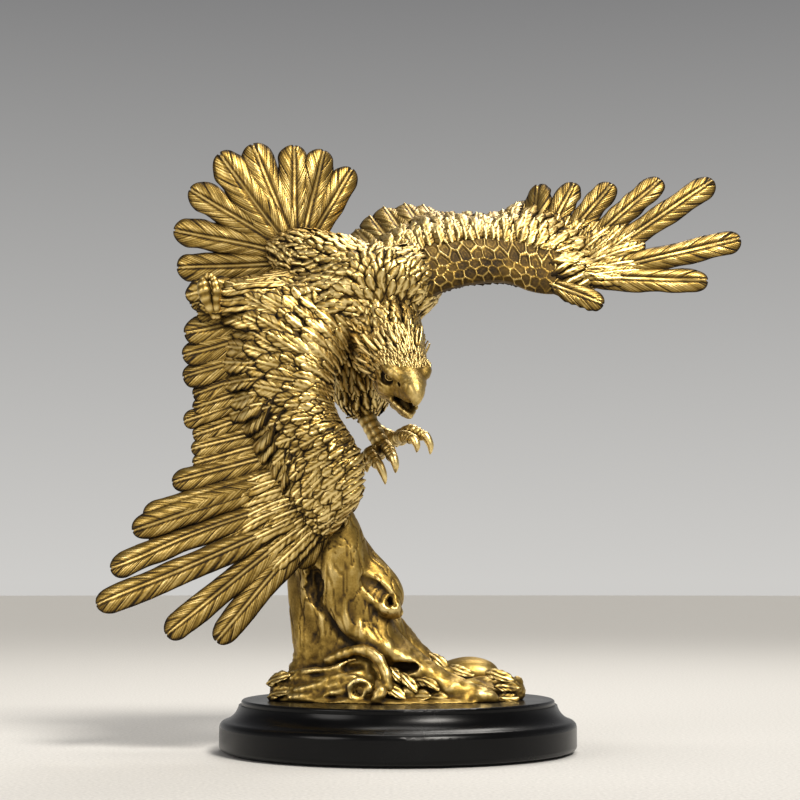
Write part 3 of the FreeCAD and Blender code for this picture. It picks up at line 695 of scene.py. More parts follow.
LEFT_WING = [
    ((3, -12, 138), (-15, 10, 163), 15),
    ((8, -12, 144.5), (-5, 15, 169), 15),
    ((15.5, -12, 148.5), (5, 18, 174), 14),
    ((23, -12, 150.5), (14, 18, 175.5), 13),
    ((30, -12, 151.5), (24, 17, 175.5), 13),
    ((36, -12, 151), (34, 14, 175.5), 12.5),
    ((42.5, -12, 148), (44, 11, 177), 12),
    ((49, -11, 147), (53.5, 8, 174), 11),
    ((57, -8, 148), (61.5, 5, 168), 8.5),
    ((65, -6, 150.5), (68, 2, 161), 5.5),
]
LEFT_SECONDARY_ROOTS = [(-10, 8, 161), (0, 12, 166), (12, 13, 170), (26, 12, 171), (38, 9, 172), (46, 7, 172)]
LEFT_SECONDARY_TIPS = [
    (-18.5, 25, 169),
    (-15, 31, 176.5),
    (-10, 34, 182),
    (-5, 36, 185.5),
    (2, 37, 187),
    (8.5, 37, 186.5),
    (15, 36, 184),
    (22, 33, 181.5),
    (29, 29, 180),
    (35, 25, 182),
    (40, 20, 183.5),
    (47.5, 14, 189),
]
LEFT_PRIMARY_ROOTS = [(50, 4, 168), (58, 1, 162), (60, -3, 156), (58, -6, 153)]
LEFT_PRIMARY_TIPS = [
    (59.5, 9, 188.5),
    (72, 6, 187.5),
    (88, 4, 188.5),
    (105, 1, 187.5),
    (113, -3, 167),
    (101.5, -6, 152.5),
]
ALULA = ((52, -11, 149), (66.5, -13, 143.5))
LEFT_FRONT_ROWS = [
    (0.86, 1.18, 0.24, 0.95, 15, 6.4, 1.2, 0.01, COVERT),
    (0.70, 1.04, 0.14, 0.96, 19, 5.6, 1.5, 0.01, COVERT),
    (0.60, 0.90, 0.03, 0.96, 26, 5.2, 1.7, 0.01, OPEN),
    (0.52, 0.78, 0.03, 0.96, 29, 4.6, 1.5, 0.01, OPEN),
    (0.45, 0.66, 0.03, 0.96, 31, 4.2, 1.0, 0.01, OPEN),
    (0.30, 0.52, 0.02, 0.18, 6, 3.8, 1.2, 0.02, LESSER),
    (0.18, 0.40, 0.01, 0.17, 6, 3.4, 1.0, 0.02, LESSER),
    (0.08, 0.28, 0.00, 0.15, 6, 3.0, 0.8, 0.02, LESSER),
    (0.00, 0.16, 0.00, 0.13, 6, 2.8, 0.8, 0.02, OPEN),
    (0.30, 0.54, 0.76, 0.97, 9, 4.0, 1.2, 0.015, LESSER),
    (0.16, 0.40, 0.78, 0.98, 9, 3.6, 1.2, 0.015, LESSER),
    (0.02, 0.24, 0.80, 0.98, 9, 3.4, 1.0, 0.015, OPEN),
]
LEFT_BACK_ROWS = [
    (0.66, 1.06, 0.00, 0.95, 21, 8.0, 0.8, 0.01, COVERT),
    (0.40, 0.80, 0.00, 0.95, 24, 7.0, 0.9, 0.01, COVERT),
    (0.24, 0.56, 0.00, 0.96, 27, 6.0, 0.8, 0.01, COVERT),
    (0.20, 0.42, 0.00, 0.96, 32, 5.0, 0.3, 0.01, LESSER),
]


def right_wing(gold):
    """The low wing: its flight feathers, and coverts over its flesh on both faces."""
    flight = Clay()
    fan(flight, RIGHT_SECONDARY_ROOTS, RIGHT_SECONDARY_TIPS, TO_VIEWER, RIGHT_SECONDARY_WIDTHS, FLIGHT, 11)
    fan(flight, RIGHT_PRIMARY_ROOTS, RIGHT_PRIMARY_TIPS, TO_VIEWER, 9.0, FLIGHT, 12)
    fan(flight, TERTIAL_ROOTS, TERTIAL_TIPS, TO_VIEWER, 5.2, COVERT, 13, tilt=0.3)
    roots, tips, widths = zip(*LOOSE_FEATHERS)
    feathers(flight, roots, tips, [TO_VIEWER] * len(roots), widths, COVERT, 14)
    steps, ridges = 40, 31
    wave = np.sin(ridges * np.linspace(0, 1, steps))
    for stations in SCROLL:
        tube(flight, stations, steps, 18, lambda at: 1 + 0.05 * np.sin(ridges * at), 0.55 + 0.2 * wave)
    flight.build("right_wing_quills", gold)
    front = Clay()
    wing_flesh(front, RIGHT_WING)
    covert_rows(front, RIGHT_WING, RIGHT_FRONT_ROWS, 1, 100, 0.2)
    front.build("right_wing_coverts", gold, "right_wing", "right_wing_pins")
    small = Clay()
    covert_rows(small, RIGHT_WING, RIGHT_SMALL_ROWS, 1, 110, 0.2)
    quill_covers(small, RIGHT_PRIMARY_ROOTS, RIGHT_PRIMARY_TIPS, TO_VIEWER, 120)
    small.build("right_wing_small_coverts", gold)
    back = Clay()
    covert_rows(back, RIGHT_WING, RIGHT_BACK_ROWS, -1, 130)
    back.build("right_wing_under_coverts", gold)


def left_wing(gold):
    """The high wing, made like the low one. Scales cover part of the face towards the viewer."""
    flight = Clay()
    fan(flight, LEFT_SECONDARY_ROOTS, LEFT_SECONDARY_TIPS, (0, -0.55, 0.85), 11.5, FLIGHT, 21, tilt=0.05)
    fan(flight, LEFT_PRIMARY_ROOTS, LEFT_PRIMARY_TIPS, (0, -1, 0.2), 8.4, FLIGHT, 22)
    feathers(flight, [ALULA[0]], [ALULA[1]], [(0, -1, 0.2)], 7.5, FLIGHT, 23)
    flight.build("left_wing_quills", gold)
    front = Clay()
    covert_rows(front, LEFT_WING, LEFT_FRONT_ROWS, 1, 200)
    quill_covers(front, LEFT_PRIMARY_ROOTS, LEFT_PRIMARY_TIPS, (0, -0.98, 0.2), 210)
    front.build("left_wing_coverts", gold)
    flesh = Clay()
    wing_flesh(flesh, LEFT_WING, 330, 170, net=(0.1, 0.86, -1.0, 18))
    flesh.build("left_wing_scales", gold, "left_wing", "left_wing_pins")
    back = Clay()
    covert_rows(back, LEFT_WING, LEFT_BACK_ROWS, -1, 220)
    back.build("left_wing_under_coverts", gold)


# ---------------------------------------------------------------- tail

TAIL_FEATHER_ROOTS = [(-37, 6, 159), (-38.5, 4.5, 163), (-36.5, 3.5, 166), (-34, 5, 166.5), (-31, 7, 166)]
TAIL_FEATHER_TIPS = [
    (-70, 12, 147),
    (-74.5, 10, 159.5),
    (-75.5, 8, 172),
    (-70, 5.5, 185.5),
    (-60, 2.5, 197),
    (-49, 4, 200.6),
    (-35, 6, 200.6),
    (-25, 8.5, 199.6),
    (-15.5, 12, 194),
]
TAIL_FEATHER_WIDTHS = [8.5, 9.5, 10, 10.5, 12, 11, 10.5, 10.5, 10]


def tail(gold):
    """The fanned tail, one row of flight feathers."""
    clay = Clay()
    fan(clay, TAIL_FEATHER_ROOTS, TAIL_FEATHER_TIPS, TO_VIEWER, TAIL_FEATHER_WIDTHS, FLIGHT, 31, tilt=0.0)
    clay.build("tail_feathers", gold, "tail", "tail_pins")


# ---------------------------------------------------------------- small feathers over a solid


def scattered(points, spacing, seed):
    """Indices of points picked at random, each at least its own spacing away from those picked before."""
    order = np.random.default_rng(seed).permutation(len(points))
    spacing = np.broadcast_to(spacing, (len(points),))
    cell = float(spacing.max())
    taken, kept = {}, []
    for i in order:
        place = points[i]
        corner = tuple(np.floor(place / cell).astype(int))
        near = []
        for step in itertools.product((-1, 0, 1), repeat=3):
            near += taken.get(tuple(a + b for a, b in zip(corner, step)), ())
        if near and ((np.array(near) - place) ** 2).sum(1).min() < spacing[i] ** 2:
            continue
        taken.setdefault(corner, []).append(place)
        kept.append(i)
    return np.array(kept)


def flow_along(points, paths):
    """The way that feathers point at each of the points: that of the nearest paths."""
    total = np.zeros_like(points)
    for path in paths:
        share = np.linspace(0, 1, 14)
        places = spline(path, share)[:, :3]
        ways = headings(path, share)
        gap = ((points[:, None] - places[None]) ** 2).sum(-1)
        total += np.einsum("ij,jk->ik", 1 / (gap + 4) ** 3, ways)
    return unit(total)


def plumage(clay, points, normals, way, look, seed, length, width, spacing, lift, stray=0.22):
    """Overlapping small feathers over a surface, pointing along way. lift is how far the tips stand off.
    length, width, spacing and lift are one for all or one for each point."""
    kept = scattered(points, spacing, seed)
    draw = np.random.default_rng(seed + 1)
    count = len(kept)
    length, width, lift = (np.broadcast_to(size, (len(points),))[kept] for size in (length, width, lift))
    place, outward, way = points[kept], normals[kept], way[kept]
    way = unit(way - outward * np.einsum("ij,ij->i", way, outward)[:, None])
    beside = np.cross(outward, way)
    way = unit(way + beside * draw.uniform(-stray, stray, (count, 1)))
    reach = (length * draw.uniform(0.8, 1.2, count))[:, None]
    tips = place + way * reach + outward * lift[:, None] * draw.uniform(0.4, 1.5, (count, 1))
    faces = outward + beside * draw.uniform(-0.25, 0.25, (count, 1))
    width = width * draw.uniform(0.85, 1.2, count)
    feathers(clay, place - outward * 0.5, tips, faces, width, look, seed + 2)


# ---------------------------------------------------------------- body

TORSO = [  # nape to rump: x, y, z, radius
    (-1.5, -17, 128.5, 7.6),
    (-3.4, -12, 133, 8.6),
    (-7, -5, 140, 11.2),
    (-12.5, 0, 148, 14.4),
    (-22, 2, 155, 12),
    (-31, 4, 161, 8.2),
    (-37, 5, 164, 5.2),
]
BREAST = [(-16, 5, 150, 10.5), (-15.5, 6, 138, 12), (-13, 6, 127, 10.2), (-11, 5, 119.5, 6.5)]
RIGHT_THIGH = [(-14, 4, 126, 6), (-13.2, 0, 119, 5), (-12.4, -2, 114, 3.0)]
LEFT_THIGH = [(-9, 7, 126, 6), (-10, 6, 119.5, 4.6), (-10.6, 5.4, 115, 2.8)]
RIGHT_SHOULDER = [(-10, -2, 146, 11), (-22, -5, 144, 9), (-32, -6, 143, 6.5)]
LEFT_SHOULDER = [(-6, -2, 147, 11), (-1, 0, 151.5, 9.5), (5, 3, 156.5, 7)]
NAPE = [(-14, -5, 150, 9), (-8, -7, 150, 9), (-2, -6, 150, 8.4), (4, -4, 151, 7)]
# painted shade: the body's flesh is dark so that the gaps between its small feathers look shaded
BODY_SHADE_TONE = 0.3


def body(gold):
    """The flesh from nape to rump with the thighs and shoulders, and small feathers all over it. The feathers
    are shared among four pieces, and the flesh goes with the first."""
    mass = Mass((-50, -34, 96), (28, 30, 180), 0.8)
    limbs = (TORSO, BREAST, RIGHT_THIGH, LEFT_THIGH, RIGHT_SHOULDER, LEFT_SHOULDER)
    for path in (*limbs, NAPE):
        mass.limb(path, steps=10, blend=5)
    points, quads = mass.mesh()
    normals = vertex_normals(points, quads)
    way = flow_along(points, limbs)
    neck = smooth((141 - points[:, 2]) / 12) * smooth((-points[:, 1] - 1) / 8)
    rump = smooth((-24 - points[:, 0]) / 8) * smooth((points[:, 2] - 146) / 8)
    breast = smooth((134 - points[:, 2]) / 8) * (1 - neck)
    narrow = np.maximum(neck, rump)
    length = 5.2 + 1.2 * neck - 0.6 * rump - 0.6 * breast
    width = 3.2 - 0.9 * narrow - 0.5 * breast
    spacing = 1.8 - 0.35 * narrow - 0.15 * breast
    parts = {  # the piece's name, and which points it covers
        "body_back": (points[:, 2] > 147) & (points[:, 0] > -16),
        "body_rump": (points[:, 2] > 147) & (points[:, 0] <= -16),
        "body_sides": (points[:, 2] <= 147) & (neck < 0.5),
        "body_neck": (points[:, 2] <= 147) & (neck >= 0.5),
    }
    for seed, (name, part) in enumerate(parts.items()):
        clay = Clay()
        sizes = (length[part], width[part], spacing[part])
        plumage(clay, points[part], normals[part], way[part], BODY, 300 + 10 * seed, *sizes, 0.7, 0.4)
        if name == "body_back":
            # the flesh, painted dark as shade in the gaps
            clay.add(points, quads, [], np.full(len(points), BODY_SHADE_TONE))
            clay.build(name, gold, "body", "neck_pin", "leg_pins")
        else:
            clay.build(name, gold)


# ---------------------------------------------------------------- head

SKULL = np.array((-0.5, -23.5, 122.5))
AHEAD = unit(np.array((0.27, -0.80, -0.55)))
ASIDE = unit(np.cross(UP, AHEAD))
CROWN = np.cross(AHEAD, ASIDE)
HEAD_AXES = np.stack([AHEAD, ASIDE, CROWN])


def in_head(ahead, aside, up, radius=None):
    """A point given in the head's own directions, from the middle of the skull."""
    point = SKULL + AHEAD * ahead + ASIDE * aside + CROWN * up
    return tuple(point) if radius is None else (*point, radius)


def skull():
    """The head without its feathers: skull, brows and open beak."""
    mass = Mass((-24, -54, 98), (20, -8, 142), 0.32)

    def egg(ahead, aside, up, radii, **how):
        mass.egg(in_head(ahead, aside, up), radii, HEAD_AXES, **how)

    def limb(stations, **how):
        mass.limb([in_head(*station) for station in stations], **how)

    egg(3, 0, 0.5, (11, 8.4, 8.4))
    egg(-3, 0, 1.5, (9, 9, 9), blend=3)
    egg(11, 0, -0.6, (6.5, 5.3, 5.6), blend=3)
    egg(5, 0, -5.5, (8, 5.0, 4.5), blend=3)
    # the upper beak and its hook
    limb([(12, 0, 0.4, 5.0), (15.5, 0, 1.6, 4.3), (18.5, 0, 1.9, 3.5), (20.8, 0, 1.5, 2.7),
          (22.4, 0, 0.6, 1.8), (23.1, 0, -0.5, 1.0), (23.1, 0, -1.7, 0.45)], steps=16, blend=0.8)
    limb([(12, 0, -1.6, 4.2), (16, 0, -0.9, 3.3), (19.5, 0, -0.2, 2.4)], blend=1)
    egg(8.5, 0, 3.6, (6, 5.2, 3.4), blend=2.5)
    for side in (-1, 1):  # the cheek, the eye's orbit, the brow and the nostril
        egg(7, 4.9 * side, -3.2, (5, 3, 4), blend=2)
        egg(10.6, 6.3 * side, 0.9, (3.1, 2.3, 2.1), blend=0.8, carve=True)
        limb([(4.4, 6.0 * side, 3.4, 1.3), (8.6, 6.2 * side, 4.0, 1.8), (12.4, 5.2 * side, 3.7, 1.7),
              (15.8, 3.0 * side, 3.2, 1.0)], blend=0.9)
        egg(16.4, 3.6 * side, 1.7, (1.3, 0.9, 0.6), blend=0.3, carve=True)
    # the mouth's gap, then the lower beak, its edges and the tongue
    egg(14.5, 0, -4.9, (9.5, 3.7, 1.9), blend=0.6, carve=True)
    limb([(7, 0, -7.4, 3.4), (13, 0, -7.4, 2.7), (17.5, 0, -7.4, 1.8), (21.2, 0, -7.3, 0.5)],
         steps=10, blend=0.8)
    egg(13.5, 0, -5.2, (7.2, 2.7, 1.4), blend=0.5, carve=True)
    for side in (-1, 1):
        limb([(6, 4.9 * side, -5.0, 0.7), (11, 4.4 * side, -5.6, 0.7), (16, 3.1 * side, -5.9, 0.65),
              (20.6, 0.4 * side, -6.6, 0.55)], blend=0.7)
    limb([(8, 0, -6.0, 1.2), (13, 0, -5.9, 1.1), (17.5, 0, -6.1, 0.6)], blend=0.4)
    return mass.mesh(rounds=3)


def head(gold):
    """The head: small feathers cover the skull and end in a ragged edge behind the beak."""
    points, quads = skull()
    normals = vertex_normals(points, quads)
    local = (points - SKULL) @ HEAD_AXES.T
    fibres = grain(local, (3.0, 0.75, 0.75)) * smooth((14 - local[:, 0]) / 6)
    rough = 0.3 * fibres + 0.1 * grain(points, 1.5) + 0.07 * grain(points, 0.7)
    points = points + normals * rough[:, None]
    clay = Clay()
    # painted shade: the whole face's tone is lowered, and lowered further around each eye under the brow
    from_eye = np.linalg.norm((local - (10.4, 0, 1.0)) * (1, 0, 1), axis=1) + 3 * (np.abs(local[:, 1]) < 4)
    tone = relief_of(points, quads, rounds=10, depth=0.25) * 0.8
    clay.add(points, quads, [], tone * (0.35 + 0.65 * smooth((from_eye - 1.2) / 2.4)))
    for side in (-1, 1):
        eye(clay, in_head(10.2, 5.0 * side, 1.1), unit(ASIDE * side + AHEAD * 0.75))
    up, down, out = np.maximum(local[:, 2], 0), np.maximum(-local[:, 2] - 1.5, 0), np.abs(local[:, 1])
    edge = 8.6 + 1.0 * np.minimum(up, 6) + 0.3 * down - 0.42 * out + 1.6 * grain(local, 2.2)
    shell = (local[:, 0] < edge) & (local[:, 0] > -9)
    back = smooth((11 - local[shell, 0]) / 16)  # from the fine feathers at the beak to the long ones behind
    spread = unit(local[shell][:, [1, 2]])
    way = -AHEAD + 0.25 * (spread[:, :1] * ASIDE + spread[:, 1:] * CROWN)
    sizes = (2.2 + 5.2 * back, 0.95 + 1.05 * back, 0.8 + 0.5 * back, 0.05 + 0.3 * back)
    plumage(clay, points[shell], normals[shell], way, SPIKE, 400, *sizes)
    wisps(clay)
    clay.build("head_sculpt", gold, "head")


def wisps(clay, count=14):
    """Long thin feathers that stand off behind each eye and off the nape."""
    draw = np.random.default_rng(405)
    for side in (-1, 1):
        turn = np.linspace(-0.35, 1.25, count) + draw.uniform(-0.08, 0.08, count)
        ring = np.stack([draw.uniform(-1, 4, count), side * 7.9 * np.cos(turn), 1 + 7.9 * np.sin(turn)], 1)
        roots = SKULL + ring @ HEAD_AXES
        out = unit(np.stack([np.zeros(count), side * np.cos(turn), np.sin(turn)], 1)) @ HEAD_AXES
        ways = unit(-AHEAD + out * draw.uniform(0.3, 0.75, (count, 1)))
        tips = roots + ways * draw.uniform(6, 9.5, (count, 1))
        faces = out + draw.uniform(-0.4, 0.4, (count, 3))
        feathers(clay, roots, tips, faces, draw.uniform(1.2, 1.8, count), SPIKE, 406 + side, curl=0.12)


def eye(clay, centre, way):
    """An eyeball under a thin ring of lid."""
    centre = np.array(centre)
    side = unit(np.cross(way, UP))
    up = np.cross(side, way)
    ball = [(-1.5, 0.3), (-1.0, 0.9), (0, 1.2), (0.7, 0.95), (1.1, 0.35)]  # how far out, and the radius there
    tube(clay, [(*(centre + way * out), radius) for out, radius in ball], steps=14, sides=20, patina_and_shade=0.6)
    tube(clay, ringed(centre + way * 0.5, side, up, (1.54, 1.19), 0.24), steps=49, sides=8, patina_and_shade=0.75)


# ---------------------------------------------------------------- legs

RIGHT_SHANK = [(-13.2, -1.4, 116, 3.3), (-11.2, -3.2, 110, 3.0), (-7.8, -6, 103, 2.8), (-4.4, -9, 97, 2.8)]
LEFT_SHANK = [(-12, 5, 117, 2.3), (-10.4, 4.6, 110.5, 2.1), (-6.8, 3.6, 104.5, 2.0), (-1, 2, 101, 2.4)]
RIGHT_TOES = [  # knuckle, where the claw starts, the claw's point
    [(-3.2, -14, 96.5), (-1.9, -17, 93.8), (-0.8, -18, 88.8)],
    [(-9, -13, 95), (-6.6, -17, 91.6), (-4.0, -18, 85.2)],
    [(-9.5, -9, 94.5), (-12.5, -11, 92.5), (-13.5, -11, 88.5)],
    [(-6, -4, 95.5), (-8.5, -1.5, 94), (-10, -2.5, 90)],
]
LEFT_TOES = [
    [(4, -2, 103.2), (8, -4, 101.6), (10.4, -5, 95.6)],
    [(2, -4, 101), (4.4, -7, 100.4), (6.0, -8.5, 96)],
    [(1, 5, 101), (0.5, 8, 101.6), (-0.5, 9.5, 99)],
    [(-3, 6.5, 99.5), (-5, 9, 98.5), (-6.5, 9.5, 95)],
]


def scutes(count, depth):
    """Ripples of a limb's radius: count broad scales, each with a sharp groove after it."""
    return lambda share: 1 + depth * (np.abs(np.sin(np.pi * count * share)) ** 0.6 - 0.6)


def scaly_tube(clay, stations, steps, sides, count):
    """A limb with count scutes along it, dark in the grooves between them."""
    bands = np.abs(np.sin(np.pi * count * np.linspace(0, 1, steps))) ** 0.7
    tube(clay, stations, steps, sides, scutes(count, 0.1), 0.3 + 0.5 * bands)


def leg(name, gold, shank, toes):
    """A shank, and toes with their claws."""
    clay = Clay()
    scaly_tube(clay, shank, 60, 18, 9)
    ankle = np.array(shank[-1][:3])
    for toe in toes:
        knuckle, start, point = (np.array(place) for place in toe)
        outward = unit((start - knuckle) * np.array((1, 1, 0.2)))
        bones = [(ankle, 2.3), ((ankle + knuckle) / 2 + UP * 0.6, 2.0), (knuckle + UP * 0.3, 2.15),
                 ((knuckle + start) / 2 + UP * 0.5, 1.9), (start, 1.85)]
        claw = [(start - outward * 0.6, 1.6), (start + outward * 1.1, 1.55),
                (start * 0.55 + point * 0.45 + outward * 1.5, 1.2),
                (start * 0.2 + point * 0.8 + outward * 0.7, 0.7), (point, 0.2)]
        scaly_tube(clay, [(*place, radius) for place, radius in bones], 44, 16, 7)
        tube(clay, [(*place, radius) for place, radius in claw], 26, 14, patina_and_shade=0.8)
    clay.build(name + "_sculpt", gold, name)


# ---------------------------------------------------------------- stump

TRUNK = [  # x, y, z, radius, from the ground up
    (-11, 0, 16, 20),
    (-13, 0, 28, 16),
    (-18.5, -1, 45, 13.6),
    (-22.5, -4, 60, 11.5),
    (-24, -8, 72, 8.6),
    (-24.5, -11, 80, 6.2),
]
FOLDS = [  # long ridges down the trunk: the first two are on its face
    [(-20, -11, 74, 5.4), (-17.5, -10.5, 63, 6.6), (-15.6, -10, 52, 6.8), (-10.5, -10, 42, 6.0),
     (-4, -10.5, 34, 5)],
    [(-21.5, -13, 66, 2.0), (-20.4, -14.6, 58, 2.2), (-20.6, -14.2, 50, 2.0), (-17.2, -14.8, 43, 1.9),
     (-11, -15.8, 37.4, 1.9), (-3, -16.6, 32.6, 1.8), (5, -17, 27.5, 1.6)],
    [(-27, -6, 76, 3.0), (-30, -4, 62, 3.6), (-30, -4, 46, 4.0), (-28, -6, 32, 4)],
    [(-22, -6, 77, 3), (-15, 2, 64, 3.6), (-9, 7, 49, 4.4), (-2, 10, 34, 4.4)],
    [(-25, -5, 78, 3), (-27, 3, 64, 3.4), (-28, 7, 50, 4), (-28, 10, 34, 4)],
    [(-23, -4, 76, 3), (-21, 5, 62, 3.6), (-19.5, 10.5, 45, 4.2), (-18, 16, 28, 4.2)],
]
ROOTS = [  # x, y, z, radius, from the trunk outward
    [(-10, -6, 40, 6), (-1, -11, 31, 5.4), (8, -14, 24.5, 4.8), (18, -16, 20, 4.0), (29, -17, 17.6, 2.4)],
    [(-7, 0, 40, 7), (5, -1, 29, 5.2), (15, -4, 22.4, 4.0), (26, -6, 18.8, 3.0), (36, -8, 17, 2.0)],
    [(-24, -2, 37, 6), (-28.5, -4, 27, 5), (-33, -6, 21, 3.8), (-38, -8, 18, 3)],
    [(-22, 8, 34, 7), (-27, 14, 24, 5), (-33, 17, 18, 3)],
    [(-14, 10, 34, 7), (-12, 20, 24, 5), (-10, 25, 19, 3)],
    [(-2, 8, 34, 7), (6, 17, 26, 5), (14, 22, 20, 3.2)],
    [(-37, -6, 19, 2.8), (-29, -9.5, 21, 3.4), (-20, -12, 22.5, 4.0), (-12, -12.5, 24, 4.2)],
]
ARCH = [
    (-22, -14, 29.5, 1.6),
    (-14, -18, 33, 1.6),
    (-8, -20.2, 32, 1.6),
    (-4.6, -22, 28, 1.5),
    (-3, -23.4, 22, 1.5),
]
BROKEN_BRANCH = [(-17, -4, 64, 7), (-11.5, -6.5, 58.5, 6.2), (-6.4, -9.5, 53, 5.6), (-3.2, -11, 48.6, 5.0)]
SCAR = np.array((-6.6, -15.2, 51.0))  # the long torn patch on the branch
SCAR_ALONG = unit(np.array((0.74, -0.12, -0.66)))
SCAR_FACING = unit(np.array((0.4, -0.9, 0.1)))
SCAR_FACING = unit(SCAR_FACING - SCAR_ALONG * (SCAR_FACING @ SCAR_ALONG))
SCAR_OVER = np.cross(SCAR_ALONG, SCAR_FACING)
KNOT = np.array((-2.4, -16.2, 48.2))  # at the patch's lower end
CURL = np.array((-12.2, -23.8, 20.6))  # the middle of a root's rolled end
STREAMS = 6  # thin ridges that run along the ground from the left end of the mound to the curl
STONES = [  # x, y, z, radii
    (23.5, 12, 24, 10.2, 7.4, 5.8),
    (-37.5, -7, 21, 3.6, 4.5, 4.8),
    (-34, 8, 19, 4.6, 4, 4),
    (29, 0, 18.6, 9.5, 7, 5.6),
    (35.5, -6, 20.6, 3.2, 3.4, 3.8),
    (38.2, -3.5, 19.5, 2.6, 4, 4.6),
    (33, 5, 20, 5, 4, 3.6),
    (11.8, 2, 29.6, 2.1, 2, 1.5),
    (15, 1, 27.4, 2.0, 2, 1.5),
    (-1.5, -20.5, 21.5, 2.6, 2.2, 2.4),
    (3.4, -21.5, 20, 2.4, 2.0, 2.8),
    (-20, 22, 19.5, 5, 3, 3.4),
    (0, 24, 19, 4.5, 2.8, 3),
]
LEAVES = [  # root, tip, width
    ((-3.5, -22, 21), (2.5, -24, 18), 4.4),
    ((1, -20, 24.5), (6, -23, 20), 4.0),
    ((4, -21.5, 18), (10.5, -23.5, 19), 4.6),
    ((6.5, -19.5, 22.5), (13, -22, 20.6), 4.0),
    ((-1.5, -19, 26.5), (2.4, -21.5, 22.6), 3.6),
    ((9, -21, 16.6), (16.5, -22.5, 17.6), 4.0),
    ((30, -8, 25), (37, -10, 23), 4.6),
    ((32.5, -11, 21), (39, -10, 20.6), 4.4),
    ((33, -12, 17.4), (38.6, -11.5, 17.6), 4.0),
    ((11, -4, 30), (16.5, -6, 26), 4.0),
    ((17, -3, 26.5), (24.5, -6, 24.4), 4.2),
    ((-40, -8, 22), (-34, -12, 25), 4.4),
    ((-39.5, -10, 17.6), (-33, -14, 20), 4.4),
]


def fibres_of(path, count, draw):
    """Thin limbs that wind along a thick one, half sunk in its surface."""
    share = np.linspace(0, 1, 7)
    middle = spline(path, share)
    side, up = crosswise(headings(path, share))
    made = []
    for i in range(count):
        turn = 2 * np.pi * i / count + draw.uniform(-0.4, 0.4) + draw.uniform(-1.0, 1.0) * share
        around = side * np.cos(turn)[:, None] + up * np.sin(turn)[:, None]
        radius = middle[:, 3:] * draw.uniform(0.24, 0.4)
        made.append(np.concatenate([middle[:, :3] + around * (middle[:, 3:] * 1.04 - radius), radius], 1))
    return made


def add_wood(mass, draw):
    """The trunk with its folds, its roots and its broken branch, the fibres along them, and the stones."""
    mass.limb(TRUNK, steps=12, blend=2)
    for fold in FOLDS:
        mass.limb(fold, steps=12, blend=3.6)
    for root in ROOTS:
        mass.limb(root, steps=12, blend=2.4)
    mass.limb(BROKEN_BRANCH, steps=8, blend=2.4)
    for path, count in [(TRUNK[2:], 9), (BROKEN_BRANCH, 5)] + [(root, 5) for root in ROOTS]:
        for strand in fibres_of(path, count, draw):
            mass.limb(strand, steps=12, blend=1.6)
    for *centre, across, deep, high in STONES:
        mass.egg(centre, (across, deep, high), blend=0.8)


def add_scar(mass):
    """The torn patch on the branch: its rim and lip, its fibres, and the knot. Then the hollow beside it."""
    axes = np.stack([SCAR_ALONG, SCAR_OVER, SCAR_FACING])
    mass.limb(ringed(SCAR, SCAR_ALONG, SCAR_OVER, (7.8, 3.0), 0.8), steps=30, blend=1.2)
    mass.limb([(-12, -13.2, 52.5, 1.6), (-5.6, -15, 46.6, 2.0), (0.2, -13.8, 44.6, 1.7)], blend=1.4)
    mass.egg(SCAR + SCAR_FACING * 1.5, (7.3, 2.5, 1.7), axes, blend=0.5, carve=True)
    for across in (-1.5, -0.5, 0.6, 1.6):
        middle = SCAR - SCAR_FACING * 0.35 + SCAR_OVER * across
        reach = SCAR_ALONG * (6.2 - 1.2 * abs(across))
        fibre = [(middle - reach, 0.3), (middle + SCAR_FACING * 0.4, 0.6), (middle + reach, 0.3)]
        mass.limb([(*place, radius) for place, radius in fibre], blend=0.3)
    mass.limb(ringed(KNOT - SCAR_FACING * 0.4, SCAR_ALONG, SCAR_OVER, (2.2, 2.0), 0.7), steps=26, blend=0.5)
    mass.egg(KNOT, (1.6, 1.5, 2.6), axes, blend=0.4, carve=True)
    mass.egg((-26.4, -14.4, 53.5), (3.4, 3.4, 6.0), blend=0.7, carve=True)
    mass.limb([(-26.5, -13, 49, 1.5), (-23.4, -14.6, 44.5, 1.3), (-19.0, -15.6, 38.4, 1.1),
               (-13, -17, 33.5, 0.9)], blend=0.5, carve=True)


def add_mound(mass, draw):
    """What lies at the trunk's foot: ridges along the ground, a thin arched root over a hollow, a curl."""
    for i in range(STREAMS):
        low = i / (STREAMS - 1)
        sway = draw.uniform(-0.8, 0.8, 4)
        path = [(-36.5, -7.5 - 5 * low, 24.5 - 7 * low), (-29, -13.6 - 4.4 * low, 25.4 - 8 * low),
                (-21, -17.2 - 3.6 * low, 26.6 - 9 * low), (-13.5, -18.6 - 3.6 * low, 29 - 10.5 * low)]
        ridge = [(x, y, z + lift, draw.uniform(0.85, 1.35)) for (x, y, z), lift in zip(path, sway)]
        mass.limb(ridge, steps=14, blend=0.6)
    mass.limb(ARCH, steps=16, blend=0.9)
    mass.egg((-13.2, -20.5, 27.8), (5.2, 4.5, 2.2), blend=0.8, carve=True)
    mass.egg((2.0, -18, 27.6), (4.6, 3.4, 1.9), blend=0.8, carve=True)
    flat = np.array((1.0, 0, 0))
    mass.limb(ringed(CURL, flat, UP, (3.6, 3.7), 1.0, turns=1.7, shrink=0.75), steps=38, blend=0.4)
    mass.limb([(-6.2, -23.5, 23, 1.2), (-5.2, -25.4, 20.5, 1.7), (-6.6, -26, 18, 1.5)], steps=10, blend=0.5)


